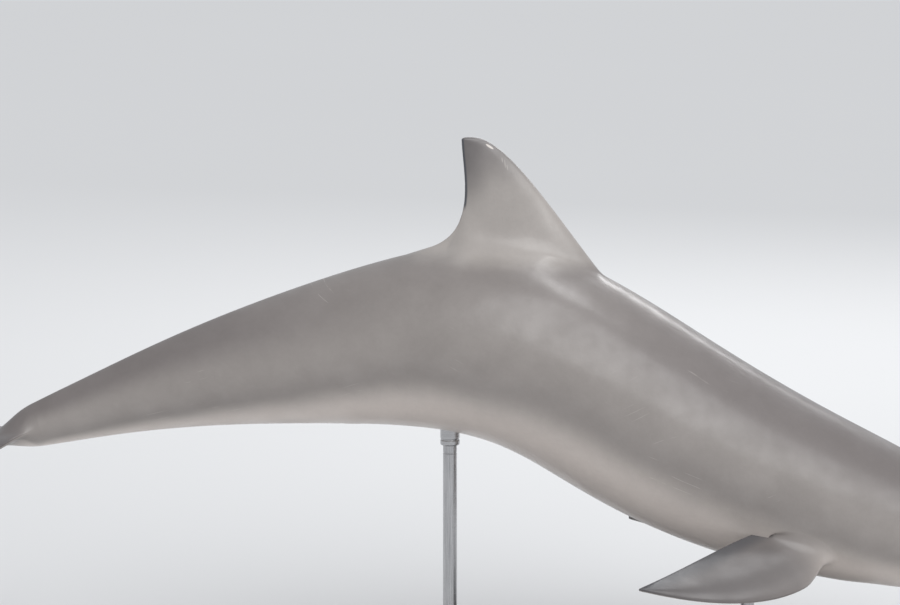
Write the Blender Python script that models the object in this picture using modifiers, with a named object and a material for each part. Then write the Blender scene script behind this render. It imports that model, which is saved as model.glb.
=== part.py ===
"""A life-size bottlenose dolphin in a surfacing roll, held by a plain display stand.

The body is a row of oval sections along a bent spine line, parted by thin cuts into the lengths
that a person would name. The fins are stacks of wing-shaped slices, trimmed where they meet the body.
Metres, +Z up, beak towards +X. The origin is the middle of the stand's underside, on the floor.
"""

import math

import bmesh
import bpy
import numpy as np
from mathutils import Matrix, Vector

# ---------------------------------------------------------------- driving sizes

LENGTH = 2.40  # tip of the beak to the notch of the flukes, along the spine line
GAP = 0.0003  # clearance between pieces that touch
FIN_ROOT = Vector((-0.17, 0.0, 0.84))  # middle of the dorsal fin's root

# Sections along the body. The place is a share of LENGTH from the tip of the beak; the heights
# of the back, the widest line and the belly are measured from the spine line.
SECTIONS = (
    # place, back, side, belly, half width
    (0.000, -0.016, -0.038, -0.061, 0.034),
    (0.020, -0.010, -0.041, -0.069, 0.041),
    (0.042, -0.001, -0.046, -0.082, 0.051),
    (0.070, 0.022, -0.054, -0.103, 0.075),
    (0.100, 0.052, -0.058, -0.124, 0.103),
    (0.140, 0.087, -0.052, -0.149, 0.131),
    (0.180, 0.107, -0.045, -0.172, 0.151),
    (0.240, 0.122, -0.041, -0.204, 0.175),
    (0.320, 0.136, -0.042, -0.234, 0.194),
    (0.400, 0.154, -0.036, -0.240, 0.201),
    (0.465, 0.179, -0.020, -0.223, 0.200),
    (0.530, 0.203, -0.002, -0.196, 0.192),
    (0.600, 0.184, 0.005, -0.168, 0.170),
    (0.700, 0.143, 0.004, -0.130, 0.124),
    (0.800, 0.101, 0.002, -0.088, 0.077),
    (0.880, 0.067, 0.001, -0.057, 0.047),
    (0.930, 0.047, 0.000, -0.040, 0.033),
    (1.000, 0.012, 0.000, -0.010, 0.020),
)

# Slope of the spine line towards the beak, in degrees above the horizontal.
POSTURE = (
    (0.00, -12.0),
    (0.10, -15.0),
    (0.20, -21.0),
    (0.30, -26.0),
    (0.38, -27.0),
    (0.46, -20.0),
    (0.54, -5.0),
    (0.62, 6.0),
    (0.72, 11.0),
    (0.82, 15.0),
    (0.92, 17.0),
    (1.02, 13.0),
)
PLACED_AT = 0.585  # the spine line passes under the rear end of the dorsal fin here
PLACED_OFFSET = Vector((-0.1531, 0.0, -0.1638))  # from FIN_ROOT to the spine line there

# Roundness of the sections: 2 is an ellipse, less is a keel, more is boxy.
BACK_POWER = ((0.0, 2.2), (0.14, 2.1), (0.45, 1.95), (0.70, 1.75), (0.88, 1.62), (1.0, 1.8))
BELLY_POWER = ((0.0, 2.4), (0.14, 2.25), (0.45, 2.1), (0.66, 2.0), (0.85, 1.65), (1.0, 1.8))

# The beak and the melon above it.
NOSE_ROUNDING = 0.014  # share of LENGTH over which the tip closes
UPPER_BEAK_SETBACK = 0.0025  # the lower jaw reaches this much further
MELON_HEIGHT = 0.047
MELON_START, MELON_FULL = 0.0395, 0.082
MELON_FADE, MELON_END = 0.086, 0.175
MOUTH = (
    (0.000, -0.038),
    (0.020, -0.041),
    (0.042, -0.046),
    (0.070, -0.059),
    (0.095, -0.072),
    (0.110, -0.074),
    (0.121, -0.067),
)
MOUTH_END = 0.121

# Where the body is parted.
BEAK_END = 0.042
HEAD_END = 0.172
CHEST_END = 0.330
TRUNK_END = 0.640
TAIL_BASE_END = 0.790
STOCK_END = 0.925
LENGTHS = (
    # name, start, end, steps
    ("head", MOUTH_END, HEAD_END, 5),
    ("chest", HEAD_END, CHEST_END, 9),
    ("trunk", CHEST_END, TRUNK_END, 16),
    ("tail_base", TRUNK_END, TAIL_BASE_END, 7),
    ("tail_stock", TAIL_BASE_END, STOCK_END, 7),
)

EYE_PLACE, EYE_HEIGHT = 0.1385, -0.052
EYE_RADIUS = 0.0165
EYE_SINK = 0.0115  # how far the eyeball's middle lies inside the skin

BLOWHOLE_PLACE = 0.142
BLOWHOLE_RADIUS = 0.021
BLOWHOLE_SPAN = math.radians(150)
BLOWHOLE_GROOVE = 0.0022

# Dorsal fin outline in the fin's plane, from FIN_ROOT: (forward, up) control points.
FIN_LEADING = ((0.178, -0.0264), (0.094, 0.0893), (0.010, 0.2274), (-0.090, 0.2518))
FIN_TRAILING = ((-0.107, 0.2487), (-0.104, 0.1766), (-0.074, 0.0609), (-0.170, 0.0305))
FIN_TOP = 0.2518
FIN_ROOT_DEPTH = -0.075  # the slices start this far down, inside the body
FIN_REAR_RUN = 2.0  # how fast the rear edge runs back below its last control point
FIN_HALF_THICKNESS = 0.029
FIN_FLARE, FIN_FLARE_HEIGHT = 0.020, 0.028
FIN_EDGE = 0.0006  # half thickness left along the thinnest edges of the fins
FIN_SLICES = 17

# Flipper outline in its own plane: (outwards, forwards) control points.
FLIPPER_PLACE, FLIPPER_ANGLE = 0.238, math.radians(122)
FLIPPER_LEADING = ((0.0, 0.064), (0.11, 0.092), (0.25, 0.030), (0.372, -0.088))
FLIPPER_TRAILING = ((0.0, -0.064), (0.08, -0.094), (0.20, -0.080), (0.372, -0.092))
FLIPPER_LENGTH = 0.372
FLIPPER_ROOT_DEPTH = -0.050
FLIPPER_HALF_THICKNESS = 0.0185
FLIPPER_SWEEP, FLIPPER_REACH, FLIPPER_DROOP = -0.58, 0.62, -0.53

# Fluke outline: (backwards from STOCK_END, sideways) control points.
FLUKE_LEADING = ((0.0, 0.0343), (0.075, 0.038), (0.105, 0.215), (0.215, 0.295))
FLUKE_TRAILING = ((0.215, 0.295), (0.172, 0.205), (0.200, 0.110), (0.204, 0.036))
FLUKE_NOTCH = ((0.204, 0.036), (0.205, 0.012), (0.180, 0.0))
FLUKE_THICKNESS_RATIO = 0.11
FLUKE_RIDGE_END = 0.165  # where the tail stock has sunk into the flukes
FLUKE_RIDGE_SPREAD = 0.30  # how much it widens on the way
FLUKE_DROOP = 0.018  # how far the tips hang below the middle

# Stand.
BASE_SIZE = Vector((1.10, 0.50, 0.030))
BASE_CORNER = 0.07
BASE_EDGE = 0.004
ROD_RADIUS = 0.014
ROD_PLACES = (0.30, -0.30)  # along X, front and rear
FLANGE_RADIUS, FLANGE_HEIGHT = 0.050, 0.012

FLANK_STEPS = 16  # facets from the back to the belly, on one side
FLUKE_RIBS, FLUKE_RIB_STEPS = (12, 12), 8


# ---------------------------------------------------------------- curves

def spline(points):
    """The natural cubic spline through (place, value) points, as a function."""
    x, y = np.array(points, float).T
    gap = np.diff(x)
    count = len(x)
    system = np.eye(count)
    bend = np.zeros(count)
    for i in range(1, count - 1):
        system[i, i - 1 : i + 2] = gap[i - 1], 2 * (gap[i - 1] + gap[i]), gap[i]
        bend[i] = 3 * ((y[i + 1] - y[i]) / gap[i] - (y[i] - y[i - 1]) / gap[i - 1])
    curve = np.linalg.solve(system, bend)

    def value(place):
        i = np.clip(np.searchsorted(x, place) - 1, 0, count - 2)
        d = place - x[i]
        slope = (y[i + 1] - y[i]) / gap[i] - gap[i] * (2 * curve[i] + curve[i + 1]) / 3
        return y[i] + slope * d + curve[i] * d**2 + (curve[i + 1] - curve[i]) / (3 * gap[i]) * d**3

    return value


def bezier(controls, steps):
    """Points along the Bezier curve of three or four control points, as (steps + 1, 2)."""
    controls = np.array(controls, float)
    degree = len(controls) - 1
    t = np.linspace(0, 1, steps + 1)[:, None]
    weights = [math.comb(degree, k) * t**k * (1 - t) ** (degree - k) for k in range(degree + 1)]
    return sum(w * c for w, c in zip(weights, controls))


def ease(t):
    """Rises from 0 to 1 with no corner at either end."""
    t = np.clip(t, 0, 1)
    return t**3 * (t * (6 * t - 15) + 10)


def wing(share):
    """Half thickness of a wing slice at a share of its chord from the front, as a share of the most."""
    share = np.clip(share, 0, 1)
    shape = 0.2969 * np.sqrt(share) - 0.126 * share - 0.3516 * share**2
    shape += 0.2843 * share**3 - 0.1036 * share**4
    return shape * 10


# ---------------------------------------------------------------- the body's sections

_table = np.array(SECTIONS)
back_height, side_height, belly_height, half_width = (
    spline(_table[:, [0, column]]) for column in (1, 2, 3, 4)
)
back_power = spline(BACK_POWER)
belly_power = spline(BELLY_POWER)
mouth_height = spline(MOUTH)
slope = spline([(place, math.radians(degrees)) for place, degrees in POSTURE])


def trace_spine(steps=2448, end=1.02):
    """Places and points along the spine line, found by stepping along its slope."""
    places = np.linspace(0, end, steps + 1)
    angles = slope(places)
    headings = np.stack([-np.cos(angles), np.zeros_like(angles), -np.sin(angles)], axis=1)
    steps_taken = (headings[1:] + headings[:-1]) / 2 * np.diff(places)[:, None] * LENGTH
    line = np.concatenate([np.zeros((1, 3)), np.cumsum(steps_taken, axis=0)])
    fixed = [np.interp(PLACED_AT, places, line[:, axis]) for axis in range(3)]
    return places, line - fixed + np.array(FIN_ROOT + PLACED_OFFSET)


SPINE_PLACES, SPINE_LINE = trace_spine()


def on_body(place, sideways, up):
    """The point that lies sideways and up from the spine line, square to it."""
    place, sideways, up = np.broadcast_arrays(place, sideways, up)
    angle = slope(place)
    x, y, z = (np.interp(place, SPINE_PLACES, SPINE_LINE[:, axis]) for axis in range(3))
    return np.stack([x - np.sin(angle) * up, y + sideways, z + np.cos(angle) * up], axis=-1)


def directions(place):
    """Forwards and up along the body at a place."""
    angle = float(slope(place))
    return (
        Vector((math.cos(angle), 0, math.sin(angle))),
        Vector((-math.sin(angle), 0, math.cos(angle))),
    )


def rounding(place, start):
    """Closes the sections to a point at the tip of a jaw."""
    t = np.clip((place - start) / NOSE_ROUNDING, 0, 1)
    return np.sqrt(1 - (1 - t) ** 2)


def melon(place):
    rise = ease((place - MELON_START) / (MELON_FULL - MELON_START))
    fade = 1 - ease((place - MELON_FADE) / (MELON_END - MELON_FADE))
    return MELON_HEIGHT * rise * fade


def section(place, angles, tip=0.0, swell=0.0):
    """(sideways, up) at each angle, which runs from 0 at the back to pi at the belly."""
    closing = rounding(place, tip)
    side = side_height(place)
    up_reach = (back_height(place) + melon(place) - side) * closing + swell
    down_reach = (side - belly_height(place)) * closing + swell
    width = half_width(place) * closing**0.8 + swell
    power = np.where(angles < math.pi / 2, back_power(place), belly_power(place))
    sideways = width * np.abs(np.sin(angles)) ** (2 / power)
    height = np.abs(np.cos(angles)) ** (2 / power)
    up = side + np.where(angles < math.pi / 2, up_reach, -down_reach) * height
    sideways[(angles == 0) | (angles == math.pi)] = 0
    return sideways, up


def mouth_angle(place, tip):
    """The angle at which a section is as high as the mouth line."""
    angles = np.linspace(0, math.pi, 721)
    up = section(place, angles, tip)[1]
    return float(np.interp(-mouth_height(place), -up, angles))


def whole_ring(place, swell=0.0):
    angles = np.linspace(0, math.pi, FLANK_STEPS + 1)
    sideways, up = section(place, angles, swell=swell)
    return on_body(place, sideways, up)


def upper_ring(place):
    """The part of a section above the mouth, closed by the palate."""
    angles = np.linspace(0, mouth_angle(place, UPPER_BEAK_SETBACK), FLANK_STEPS * 3 // 4)
    sideways, up = section(place, angles, tip=UPPER_BEAK_SETBACK)
    roof = mouth_height(place) + GAP / 2
    return on_body(place, np.append(sideways, 0), np.append(np.maximum(up, roof), roof))


def lower_ring(place):
    """The part of a section below the mouth, closed by the floor of the mouth."""
    angles = np.linspace(mouth_angle(place, 0.0), math.pi, FLANK_STEPS // 2)
    sideways, up = section(place, angles)
    floor = mouth_height(place) - GAP / 2
    return on_body(place, np.append(0, sideways), np.append(floor, np.minimum(up, floor)))


# ---------------------------------------------------------------- making meshes

def material(name, colour, roughness, metallic=0.0):
    made = bpy.data.materials.new(name)
    made.use_nodes = True
    shader = made.node_tree.nodes["Principled BSDF"]
    shader.inputs["Base Color"].default_value = (*colour, 1)
    shader.inputs["Roughness"].default_value = roughness
    shader.inputs["Metallic"].default_value = metallic
    return made


def finish(obj, finish_material, collection):
    """Gives an object its material and collection, with crisp edges only where faces turn sharply."""
    obj.data.materials.clear()
    obj.data.materials.append(finish_material)
    for other in list(obj.users_collection):
        other.objects.unlink(obj)
    collection.objects.link(obj)
    obj.data.shade_smooth()
    obj.data.set_sharp_from_angle(angle=math.radians(40))
    return obj


def loft(name, rings, finish_material, collection, closed_rings=False):
    """Quads from ring to ring and a cap on each end. Open rings make one half, and Mirror the other."""
    made = bmesh.new()
    rows = [[made.verts.new(point) for point in ring] for ring in rings]
    count = len(rows[0])
    for row, following in zip(rows, rows[1:]):
        for k in range(count if closed_rings else count - 1):
            after = (k + 1) % count
            made.faces.new((row[k], row[after], following[after], following[k]))
    made.faces.new(rows[0])
    made.faces.new(reversed(rows[-1]))
    bmesh.ops.remove_doubles(made, verts=made.verts, dist=1e-6)
    bmesh.ops.recalc_face_normals(made, faces=made.faces)
    if made.calc_volume(signed=True) < 0:
        bmesh.ops.reverse_faces(made, faces=made.faces)
    mesh = bpy.data.meshes.new(name)
    made.to_mesh(mesh)
    made.free()
    obj = finish(bpy.data.objects.new(name, mesh), finish_material, collection)
    if not closed_rings:
        mirror = obj.modifiers.new("other side", "MIRROR")
        mirror.use_axis = (False, True, False)
        mirror.merge_threshold = 0.0001
    return obj


def other_side(obj, name, collection):
    """The same piece on the other side of the body."""
    copy = bpy.data.objects.new(name, obj.data)
    copy.matrix_world = Matrix.Diagonal((1, -1, 1, 1))
    collection.objects.link(copy)
    return copy


def cut(obj, cutter):
    """Takes the cutter's shape out of an object."""
    boolean = obj.modifiers.new("cut", "BOOLEAN")
    boolean.operation = "DIFFERENCE"
    boolean.object = cutter


def set_aside(obj):
    """Marks an object as a cutter, which isn't part of the model."""
    obj.hide_render = True
    obj.display_type = "WIRE"
    return obj


def apply_modifiers(obj):
    """Makes an object's mesh what its modifiers show."""
    shown = obj.evaluated_get(bpy.context.evaluated_depsgraph_get())
    obj.data = bpy.data.meshes.new_from_object(shown)
    obj.modifiers.clear()


# ---------------------------------------------------------------- the animal

def stations(start, end, steps, from_tip=False):
    """Places between two cuts, half a gap inside each. From a tip they crowd towards it."""
    share = np.linspace(0, 1, steps + 1)
    if from_tip:
        share = share**2
    start += 0 if from_tip else GAP / 2 / LENGTH
    return start + (end - GAP / 2 / LENGTH - start) * share


def make_body(skin, lips, collection):
    beak = stations(UPPER_BEAK_SETBACK, BEAK_END, 8, True)
    forehead = stations(BEAK_END, MOUTH_END, 9)
    jaw = np.concatenate([[0.0, UPPER_BEAK_SETBACK / 3], beak, forehead])
    loft("beak_upper", [upper_ring(place) for place in beak], lips, collection)
    loft("melon", [upper_ring(place) for place in forehead], skin, collection)
    loft("jaw_lower", [lower_ring(place) for place in jaw], lips, collection)
    made = {}
    for name, start, end, steps in LENGTHS:
        rings = [whole_ring(place) for place in stations(start, end, steps)]
        made[name] = loft(name, rings, skin, collection)
    return made


def make_body_cutter(finish_material, collection):
    """The body one gap larger all round, which trims what grows out of it or holds it up."""
    places = np.concatenate([stations(start, end, steps) for _, start, end, steps in LENGTHS[1:]])
    rings = [whole_ring(place, swell=GAP) for place in places]
    cutter = loft("body_cutter", rings, finish_material, collection)
    apply_modifiers(cutter)
    return set_aside(cutter)


def make_dorsal_fin(skin, collection, body_cutter):
    leading = bezier(FIN_LEADING, 60)
    trailing = bezier(FIN_TRAILING, 60)[::-1]
    root_run = (leading[0, 0] - leading[1, 0]) / (leading[1, 1] - leading[0, 1])
    buried = np.linspace(FIN_ROOT_DEPTH, 0, 4)[:-1]
    rings = []
    for height in np.append(buried, np.linspace(0, FIN_TOP - FIN_EDGE, FIN_SLICES)):
        front = np.interp(height, leading[:, 1], leading[:, 0])
        front += max(0, leading[0, 1] - height) * root_run
        rear = np.interp(height, trailing[:, 1], trailing[:, 0])
        rear -= max(0, trailing[0, 1] - height) * FIN_REAR_RUN
        above = max(height, 0)
        thickness = FIN_HALF_THICKNESS * (1 - (above / FIN_TOP) ** 1.3 * 0.86)
        thickness += FIN_FLARE * math.exp(-above / FIN_FLARE_HEIGHT)
        along = (1 - np.cos(np.linspace(0, math.pi, 12))) / 2
        sideways = thickness * wing(along) + FIN_EDGE
        sideways[[0, -1]] = 0
        forward = front + (rear - front) * along
        rings.append([FIN_ROOT + Vector((x, y, height)) for x, y in zip(forward, sideways)])
    fin = loft("dorsal_fin", rings, skin, collection)
    cut(fin, body_cutter)


def make_flippers(skin, collection, body_cutter):
    forwards, up = directions(FLIPPER_PLACE)
    sideways, height = section(FLIPPER_PLACE, np.array([FLIPPER_ANGLE]))
    shoulder = Vector(on_body(FLIPPER_PLACE, sideways, height)[0])
    across = Vector((0, 1, 0))
    outwards = (forwards * FLIPPER_SWEEP + across * FLIPPER_REACH + up * FLIPPER_DROOP).normalized()
    chordwise = (forwards - outwards * forwards.dot(outwards)).normalized()
    face = outwards.cross(chordwise)
    leading = bezier(FLIPPER_LEADING, 60)
    trailing = bezier(FLIPPER_TRAILING, 60)
    rings = []
    for share in np.linspace(0, 1, 13):
        run = FLIPPER_ROOT_DEPTH + (FLIPPER_LENGTH - FIN_EDGE - FLIPPER_ROOT_DEPTH) * share
        front = np.interp(run, leading[:, 0], leading[:, 1])
        rear = np.interp(run, trailing[:, 0], trailing[:, 1])
        thickness = FLIPPER_HALF_THICKNESS * (1 - 0.85 * max(run, 0) / FLIPPER_LENGTH)
        along = (1 - np.cos(np.linspace(0, math.pi, 9))) / 2
        half = thickness * wing(along) + FIN_EDGE
        half[0] = 0
        upper = [(front + (rear - front) * a, h) for a, h in zip(along, half)]
        lower = [(x, -h) for x, h in reversed(upper[1:])]
        rings.append(
            [shoulder + outwards * run + chordwise * x + face * h for x, h in upper + lower]
        )
    flipper = loft("flipper_left", rings, skin, collection, closed_rings=True)
    cut(flipper, body_cutter)
    apply_modifiers(flipper)
    finish(flipper, skin, collection)
    other_side(flipper, "flipper_right", collection)


def fluke_outline():
    """The outline from the tail stock round the tip to the notch, and how much of it leads."""
    leading, trailing = bezier(FLUKE_LEADING, 80), bezier(FLUKE_TRAILING, 60)
    notch = bezier(FLUKE_NOTCH, 20)
    return leading, np.concatenate([trailing, notch[1:]])


def distance_to(curve, back, sideways):
    """How far each point of the fluke's plane is from a curve in it."""
    apart = np.hypot(back[:, None] - curve[:, 0], sideways[:, None] - curve[:, 1])
    return apart.min(axis=1)


def fluke_heights(back, sideways, leading, trailing):
    """Upper and lower surface over points behind the tail stock and to one side of it.

    The stock's own section runs back as a ridge that widens, softens and sinks into the blade.
    """
    front = np.interp(sideways, leading[:, 1], leading[:, 0])
    rear = np.interp(sideways, trailing[::-1, 1], trailing[::-1, 0])
    from_front = distance_to(leading, back, sideways)
    from_rear = distance_to(trailing, back, sideways)
    share = from_front / (from_front + from_rear + 1e-9)
    blade = np.maximum(rear - front, 0) * FLUKE_THICKNESS_RATIO / 2 * wing(share)
    spread = half_width(STOCK_END) + FLUKE_RIDGE_SPREAD * back
    sinking = 1 - ease(back / FLUKE_RIDGE_END)
    softening = ease(back / 0.08)
    droop = -FLUKE_DROOP * (sideways / leading[-1, 1]) ** 2
    surfaces = []
    for height, power, sign in ((back_height, back_power, 1), (belly_height, belly_power, -1)):
        oval = power(STOCK_END)
        inside = np.clip(1 - (sideways / spread) ** (oval + (2 - oval) * softening), 0, 1)
        ridge = abs(height(STOCK_END)) * sinking * inside ** (1 / oval + (2 - 1 / oval) * softening)
        surfaces.append(droop + sign * np.cbrt(blade**3 + ridge**3))
    return surfaces


def make_flukes(skin, collection):
    leading, trailing = fluke_outline()
    edge = np.concatenate([leading, trailing[1:]])
    run = np.concatenate([[0], np.cumsum(np.hypot(*np.diff(edge, axis=0).T))])
    tip_run = run[len(leading) - 1]
    notch = trailing[-1, 0]
    rings = []
    to_tip, to_notch = ((1 - np.cos(np.linspace(0, math.pi, n))) / 2 for n in FLUKE_RIBS)
    ribs = [(tip_run * share, 0.7 * share) for share in to_tip]
    ribs += [(tip_run + (run[-1] - tip_run) * share, 0.7 + 0.3 * share) for share in to_notch[1:]]
    for at, start_share in ribs:
        end = [np.interp(at, run, edge[:, axis]) for axis in range(2)]
        start = notch * start_share
        dense = np.linspace(0, 1, 200)
        back = start + (end[0] - start) * dense
        side = end[1] * dense
        surfaces = fluke_heights(back, side, leading, trailing)
        edge_height = (surfaces[0][-1] + surfaces[1][-1]) / 2
        ring = []
        for height in surfaces:
            height[-1] = edge_height
            length = np.concatenate([[0], np.cumsum(np.hypot(np.diff(side), np.diff(height)))])
            spaced = np.sin(np.linspace(0, math.pi / 2, FLUKE_RIB_STEPS + 1)) * length[-1]
            ring.append([np.interp(spaced, length, values) for values in (back, side, height)])
        back, side, height = (np.append(a, b[-2::-1]) for a, b in zip(*ring))
        rings.append(on_body(STOCK_END + (back + GAP / 2) / LENGTH, side + GAP / 2, height))
    fluke = loft("fluke_left", rings, skin, collection, closed_rings=True)
    other_side(fluke, "fluke_right", collection)


def make_eyes(head, eye_material, collection, cutters):
    angles = np.linspace(0, math.pi, 721)
    sideways, up = section(EYE_PLACE, angles)
    angle = np.interp(-EYE_HEIGHT, -up, angles)
    skin_point = on_body(EYE_PLACE, np.interp(angle, angles, sideways), EYE_HEIGHT)
    middle = Vector(skin_point) - Vector((0, EYE_SINK, 0))
    for name, side in (("eye_left", 1), ("eye_right", -1)):
        place = Matrix.Translation((middle.x, middle.y * side, middle.z))
        for label, radius in ((name, EYE_RADIUS), (name + "_socket", EYE_RADIUS + GAP)):
            mesh = bpy.data.meshes.new(label)
            ball = bmesh.new()
            bmesh.ops.create_uvsphere(ball, u_segments=16, v_segments=8, radius=radius)
            ball.to_mesh(mesh)
            ball.free()
            obj = bpy.data.objects.new(label, mesh)
            obj.matrix_world = place
            if radius == EYE_RADIUS:
                finish(obj, eye_material, collection)
            else:
                finish(obj, eye_material, cutters)
                cut(head, set_aside(obj))


def make_blowhole(head, finish_material, cutters):
    """A crescent groove over the head, its horns pointing forwards."""
    forwards, up = directions(BLOWHOLE_PLACE)
    top = float(back_height(BLOWHOLE_PLACE) + melon(BLOWHOLE_PLACE))
    middle = Vector(on_body(BLOWHOLE_PLACE, 0.0, top - 0.0005)) + forwards * BLOWHOLE_RADIUS * 0.5
    curve = bpy.data.curves.new("blowhole_groove", "CURVE")
    curve.dimensions = "3D"
    curve.bevel_depth = BLOWHOLE_GROOVE
    curve.bevel_resolution = 0
    curve.use_fill_caps = True
    line = curve.splines.new("POLY")
    bends = np.linspace(-BLOWHOLE_SPAN / 2, BLOWHOLE_SPAN / 2, 13)
    line.points.add(len(bends) - 1)
    for point, bend in zip(line.points, bends):
        across = BLOWHOLE_RADIUS * math.sin(bend)
        drop = across**2 * 4.2
        at = middle - forwards * BLOWHOLE_RADIUS * math.cos(bend) + Vector((0, across, 0))
        point.co = (*(at - up * drop), 1)
    guide = bpy.data.objects.new("blowhole_guide", curve)
    cutters.objects.link(guide)
    bpy.context.view_layer.update()
    shown = guide.evaluated_get(bpy.context.evaluated_depsgraph_get())
    mesh = bpy.data.meshes.new_from_object(shown)
    welded = bmesh.new()
    welded.from_mesh(mesh)
    bmesh.ops.remove_doubles(welded, verts=welded.verts, dist=1e-5)
    welded.to_mesh(mesh)
    welded.free()
    bpy.data.objects.remove(guide)
    cutter = finish(bpy.data.objects.new("blowhole_cutter", mesh), finish_material, cutters)
    cut(head, set_aside(cutter))


# ---------------------------------------------------------------- the stand

def make_base(finish_material, collection):
    slab = bmesh.new()
    bmesh.ops.create_cube(slab, size=1)
    bmesh.ops.scale(slab, vec=BASE_SIZE, verts=slab.verts)
    bmesh.ops.translate(slab, vec=(0, 0, BASE_SIZE.z / 2), verts=slab.verts)
    upright = [e for e in slab.edges if abs(e.verts[0].co.z - e.verts[1].co.z) > BASE_SIZE.z / 2]
    bmesh.ops.bevel(slab, geom=upright, offset=BASE_CORNER, segments=6, profile=0.5, affect="EDGES")
    rim = [e for e in slab.edges if all(v.co.z > BASE_SIZE.z * 0.9 for v in e.verts)]
    bmesh.ops.bevel(slab, geom=rim, offset=BASE_EDGE, segments=2, profile=0.5, affect="EDGES")
    mesh = bpy.data.meshes.new("stand_base")
    slab.to_mesh(mesh)
    slab.free()
    return finish(bpy.data.objects.new("stand_base", mesh), finish_material, collection)


def make_rod(name, x, finish_material, collection, body_cutter):
    foot = BASE_SIZE.z + GAP
    mesh = bpy.data.meshes.new(name)
    bar = bmesh.new()
    top = FIN_ROOT.z - 0.25
    bmesh.ops.create_cone(
        bar, cap_ends=True, segments=24, radius1=ROD_RADIUS, radius2=ROD_RADIUS, depth=top - foot
    )
    bmesh.ops.translate(bar, vec=(x, 0, (top + foot) / 2), verts=bar.verts)
    bar.to_mesh(mesh)
    bar.free()
    rod = finish(bpy.data.objects.new(name, mesh), finish_material, collection)
    cut(rod, body_cutter)


def make_flange(name, x, finish_material, collection):
    """A turned collar round the foot of a rod."""
    inner, foot = ROD_RADIUS + GAP, BASE_SIZE.z + GAP
    neck = ROD_RADIUS + 0.006
    profile = (
        (inner, foot + FLANGE_HEIGHT * 2.2),
        (neck, foot + FLANGE_HEIGHT * 2.2),
        (neck + 0.002, foot + FLANGE_HEIGHT),
        (FLANGE_RADIUS - 0.003, foot + FLANGE_HEIGHT),
        (FLANGE_RADIUS, foot + FLANGE_HEIGHT - 0.003),
        (FLANGE_RADIUS, foot),
        (inner, foot),
        (inner, foot + FLANGE_HEIGHT * 2.2),
    )
    mesh = bpy.data.meshes.new(name)
    mesh.from_pydata(
        [(r, 0, z) for r, z in profile[:-1]],
        [(i, (i + 1) % (len(profile) - 1)) for i in range(len(profile) - 1)],
        [],
    )
    obj = bpy.data.objects.new(name, mesh)
    obj.location = (x, 0, 0)
    mesh.materials.append(finish_material)
    collection.objects.link(obj)
    turn = obj.modifiers.new("turned", "SCREW")
    turn.axis = "Z"
    turn.steps = turn.render_steps = 24
    turn.use_merge_vertices = True
    turn.merge_threshold = 0.0001
    turn.use_smooth_shade = True


# ---------------------------------------------------------------- build

def main():
    for obj in list(bpy.data.objects):
        bpy.data.objects.remove(obj)
    model = bpy.data.collections.new("bottlenose_dolphin")
    cutters = bpy.data.collections.new("cutters")
    bpy.context.scene.collection.children.link(model)
    bpy.context.scene.collection.children.link(cutters)

    skin = material("dolphin_skin", (0.33, 0.31, 0.30), 0.32)
    lips = material("dolphin_beak_skin", (0.36, 0.33, 0.32), 0.32)
    eye = material("dolphin_eye", (0.020, 0.012, 0.008), 0.06)
    painted = material("stand_paint", (0.045, 0.047, 0.050), 0.45)
    steel = material("stand_steel", (0.55, 0.56, 0.57), 0.30, metallic=1.0)

    pieces = make_body(skin, lips, model)
    body_cutter = make_body_cutter(skin, cutters)
    make_eyes(pieces["head"], eye, model, cutters)
    make_blowhole(pieces["head"], skin, cutters)
    make_dorsal_fin(skin, model, body_cutter)
    make_flippers(skin, model, body_cutter)
    make_flukes(skin, model)

    make_base(painted, model)
    for label, x in zip(("front", "rear"), ROD_PLACES):
        make_rod("stand_rod_" + label, x, steel, model, body_cutter)
        make_flange("stand_flange_" + label, x, steel, model)


main()
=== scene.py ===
"""Looks of a life-size bottlenose dolphin: one skin over all flesh, wet eyes, a plain stand."""

import math

import bmesh
import bpy
import numpy as np
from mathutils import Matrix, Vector


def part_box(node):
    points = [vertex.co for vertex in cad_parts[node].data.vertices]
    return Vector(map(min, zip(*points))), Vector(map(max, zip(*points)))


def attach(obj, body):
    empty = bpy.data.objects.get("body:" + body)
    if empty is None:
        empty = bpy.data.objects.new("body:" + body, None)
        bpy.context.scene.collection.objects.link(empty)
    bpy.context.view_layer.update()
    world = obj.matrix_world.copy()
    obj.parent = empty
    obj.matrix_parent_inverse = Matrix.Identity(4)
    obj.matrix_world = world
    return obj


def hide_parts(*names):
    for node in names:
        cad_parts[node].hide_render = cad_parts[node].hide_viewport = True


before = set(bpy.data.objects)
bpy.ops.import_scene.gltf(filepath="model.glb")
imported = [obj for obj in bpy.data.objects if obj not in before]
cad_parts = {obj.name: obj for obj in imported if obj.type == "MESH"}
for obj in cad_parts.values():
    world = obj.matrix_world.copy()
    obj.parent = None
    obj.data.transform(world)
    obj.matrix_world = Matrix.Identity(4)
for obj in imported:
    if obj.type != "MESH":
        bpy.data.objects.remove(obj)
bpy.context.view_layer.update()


def corners_of(node):
    """A node's lowest and highest corners."""
    return [np.array(corner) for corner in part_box(node)]


# ---- sizes, as in the solids

LENGTH = 2.40  # tip of the beak to the notch of the flukes, along the spine line
FIN_ROOT = np.array((-0.17, 0.0, 0.84))  # middle of the dorsal fin's root

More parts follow.
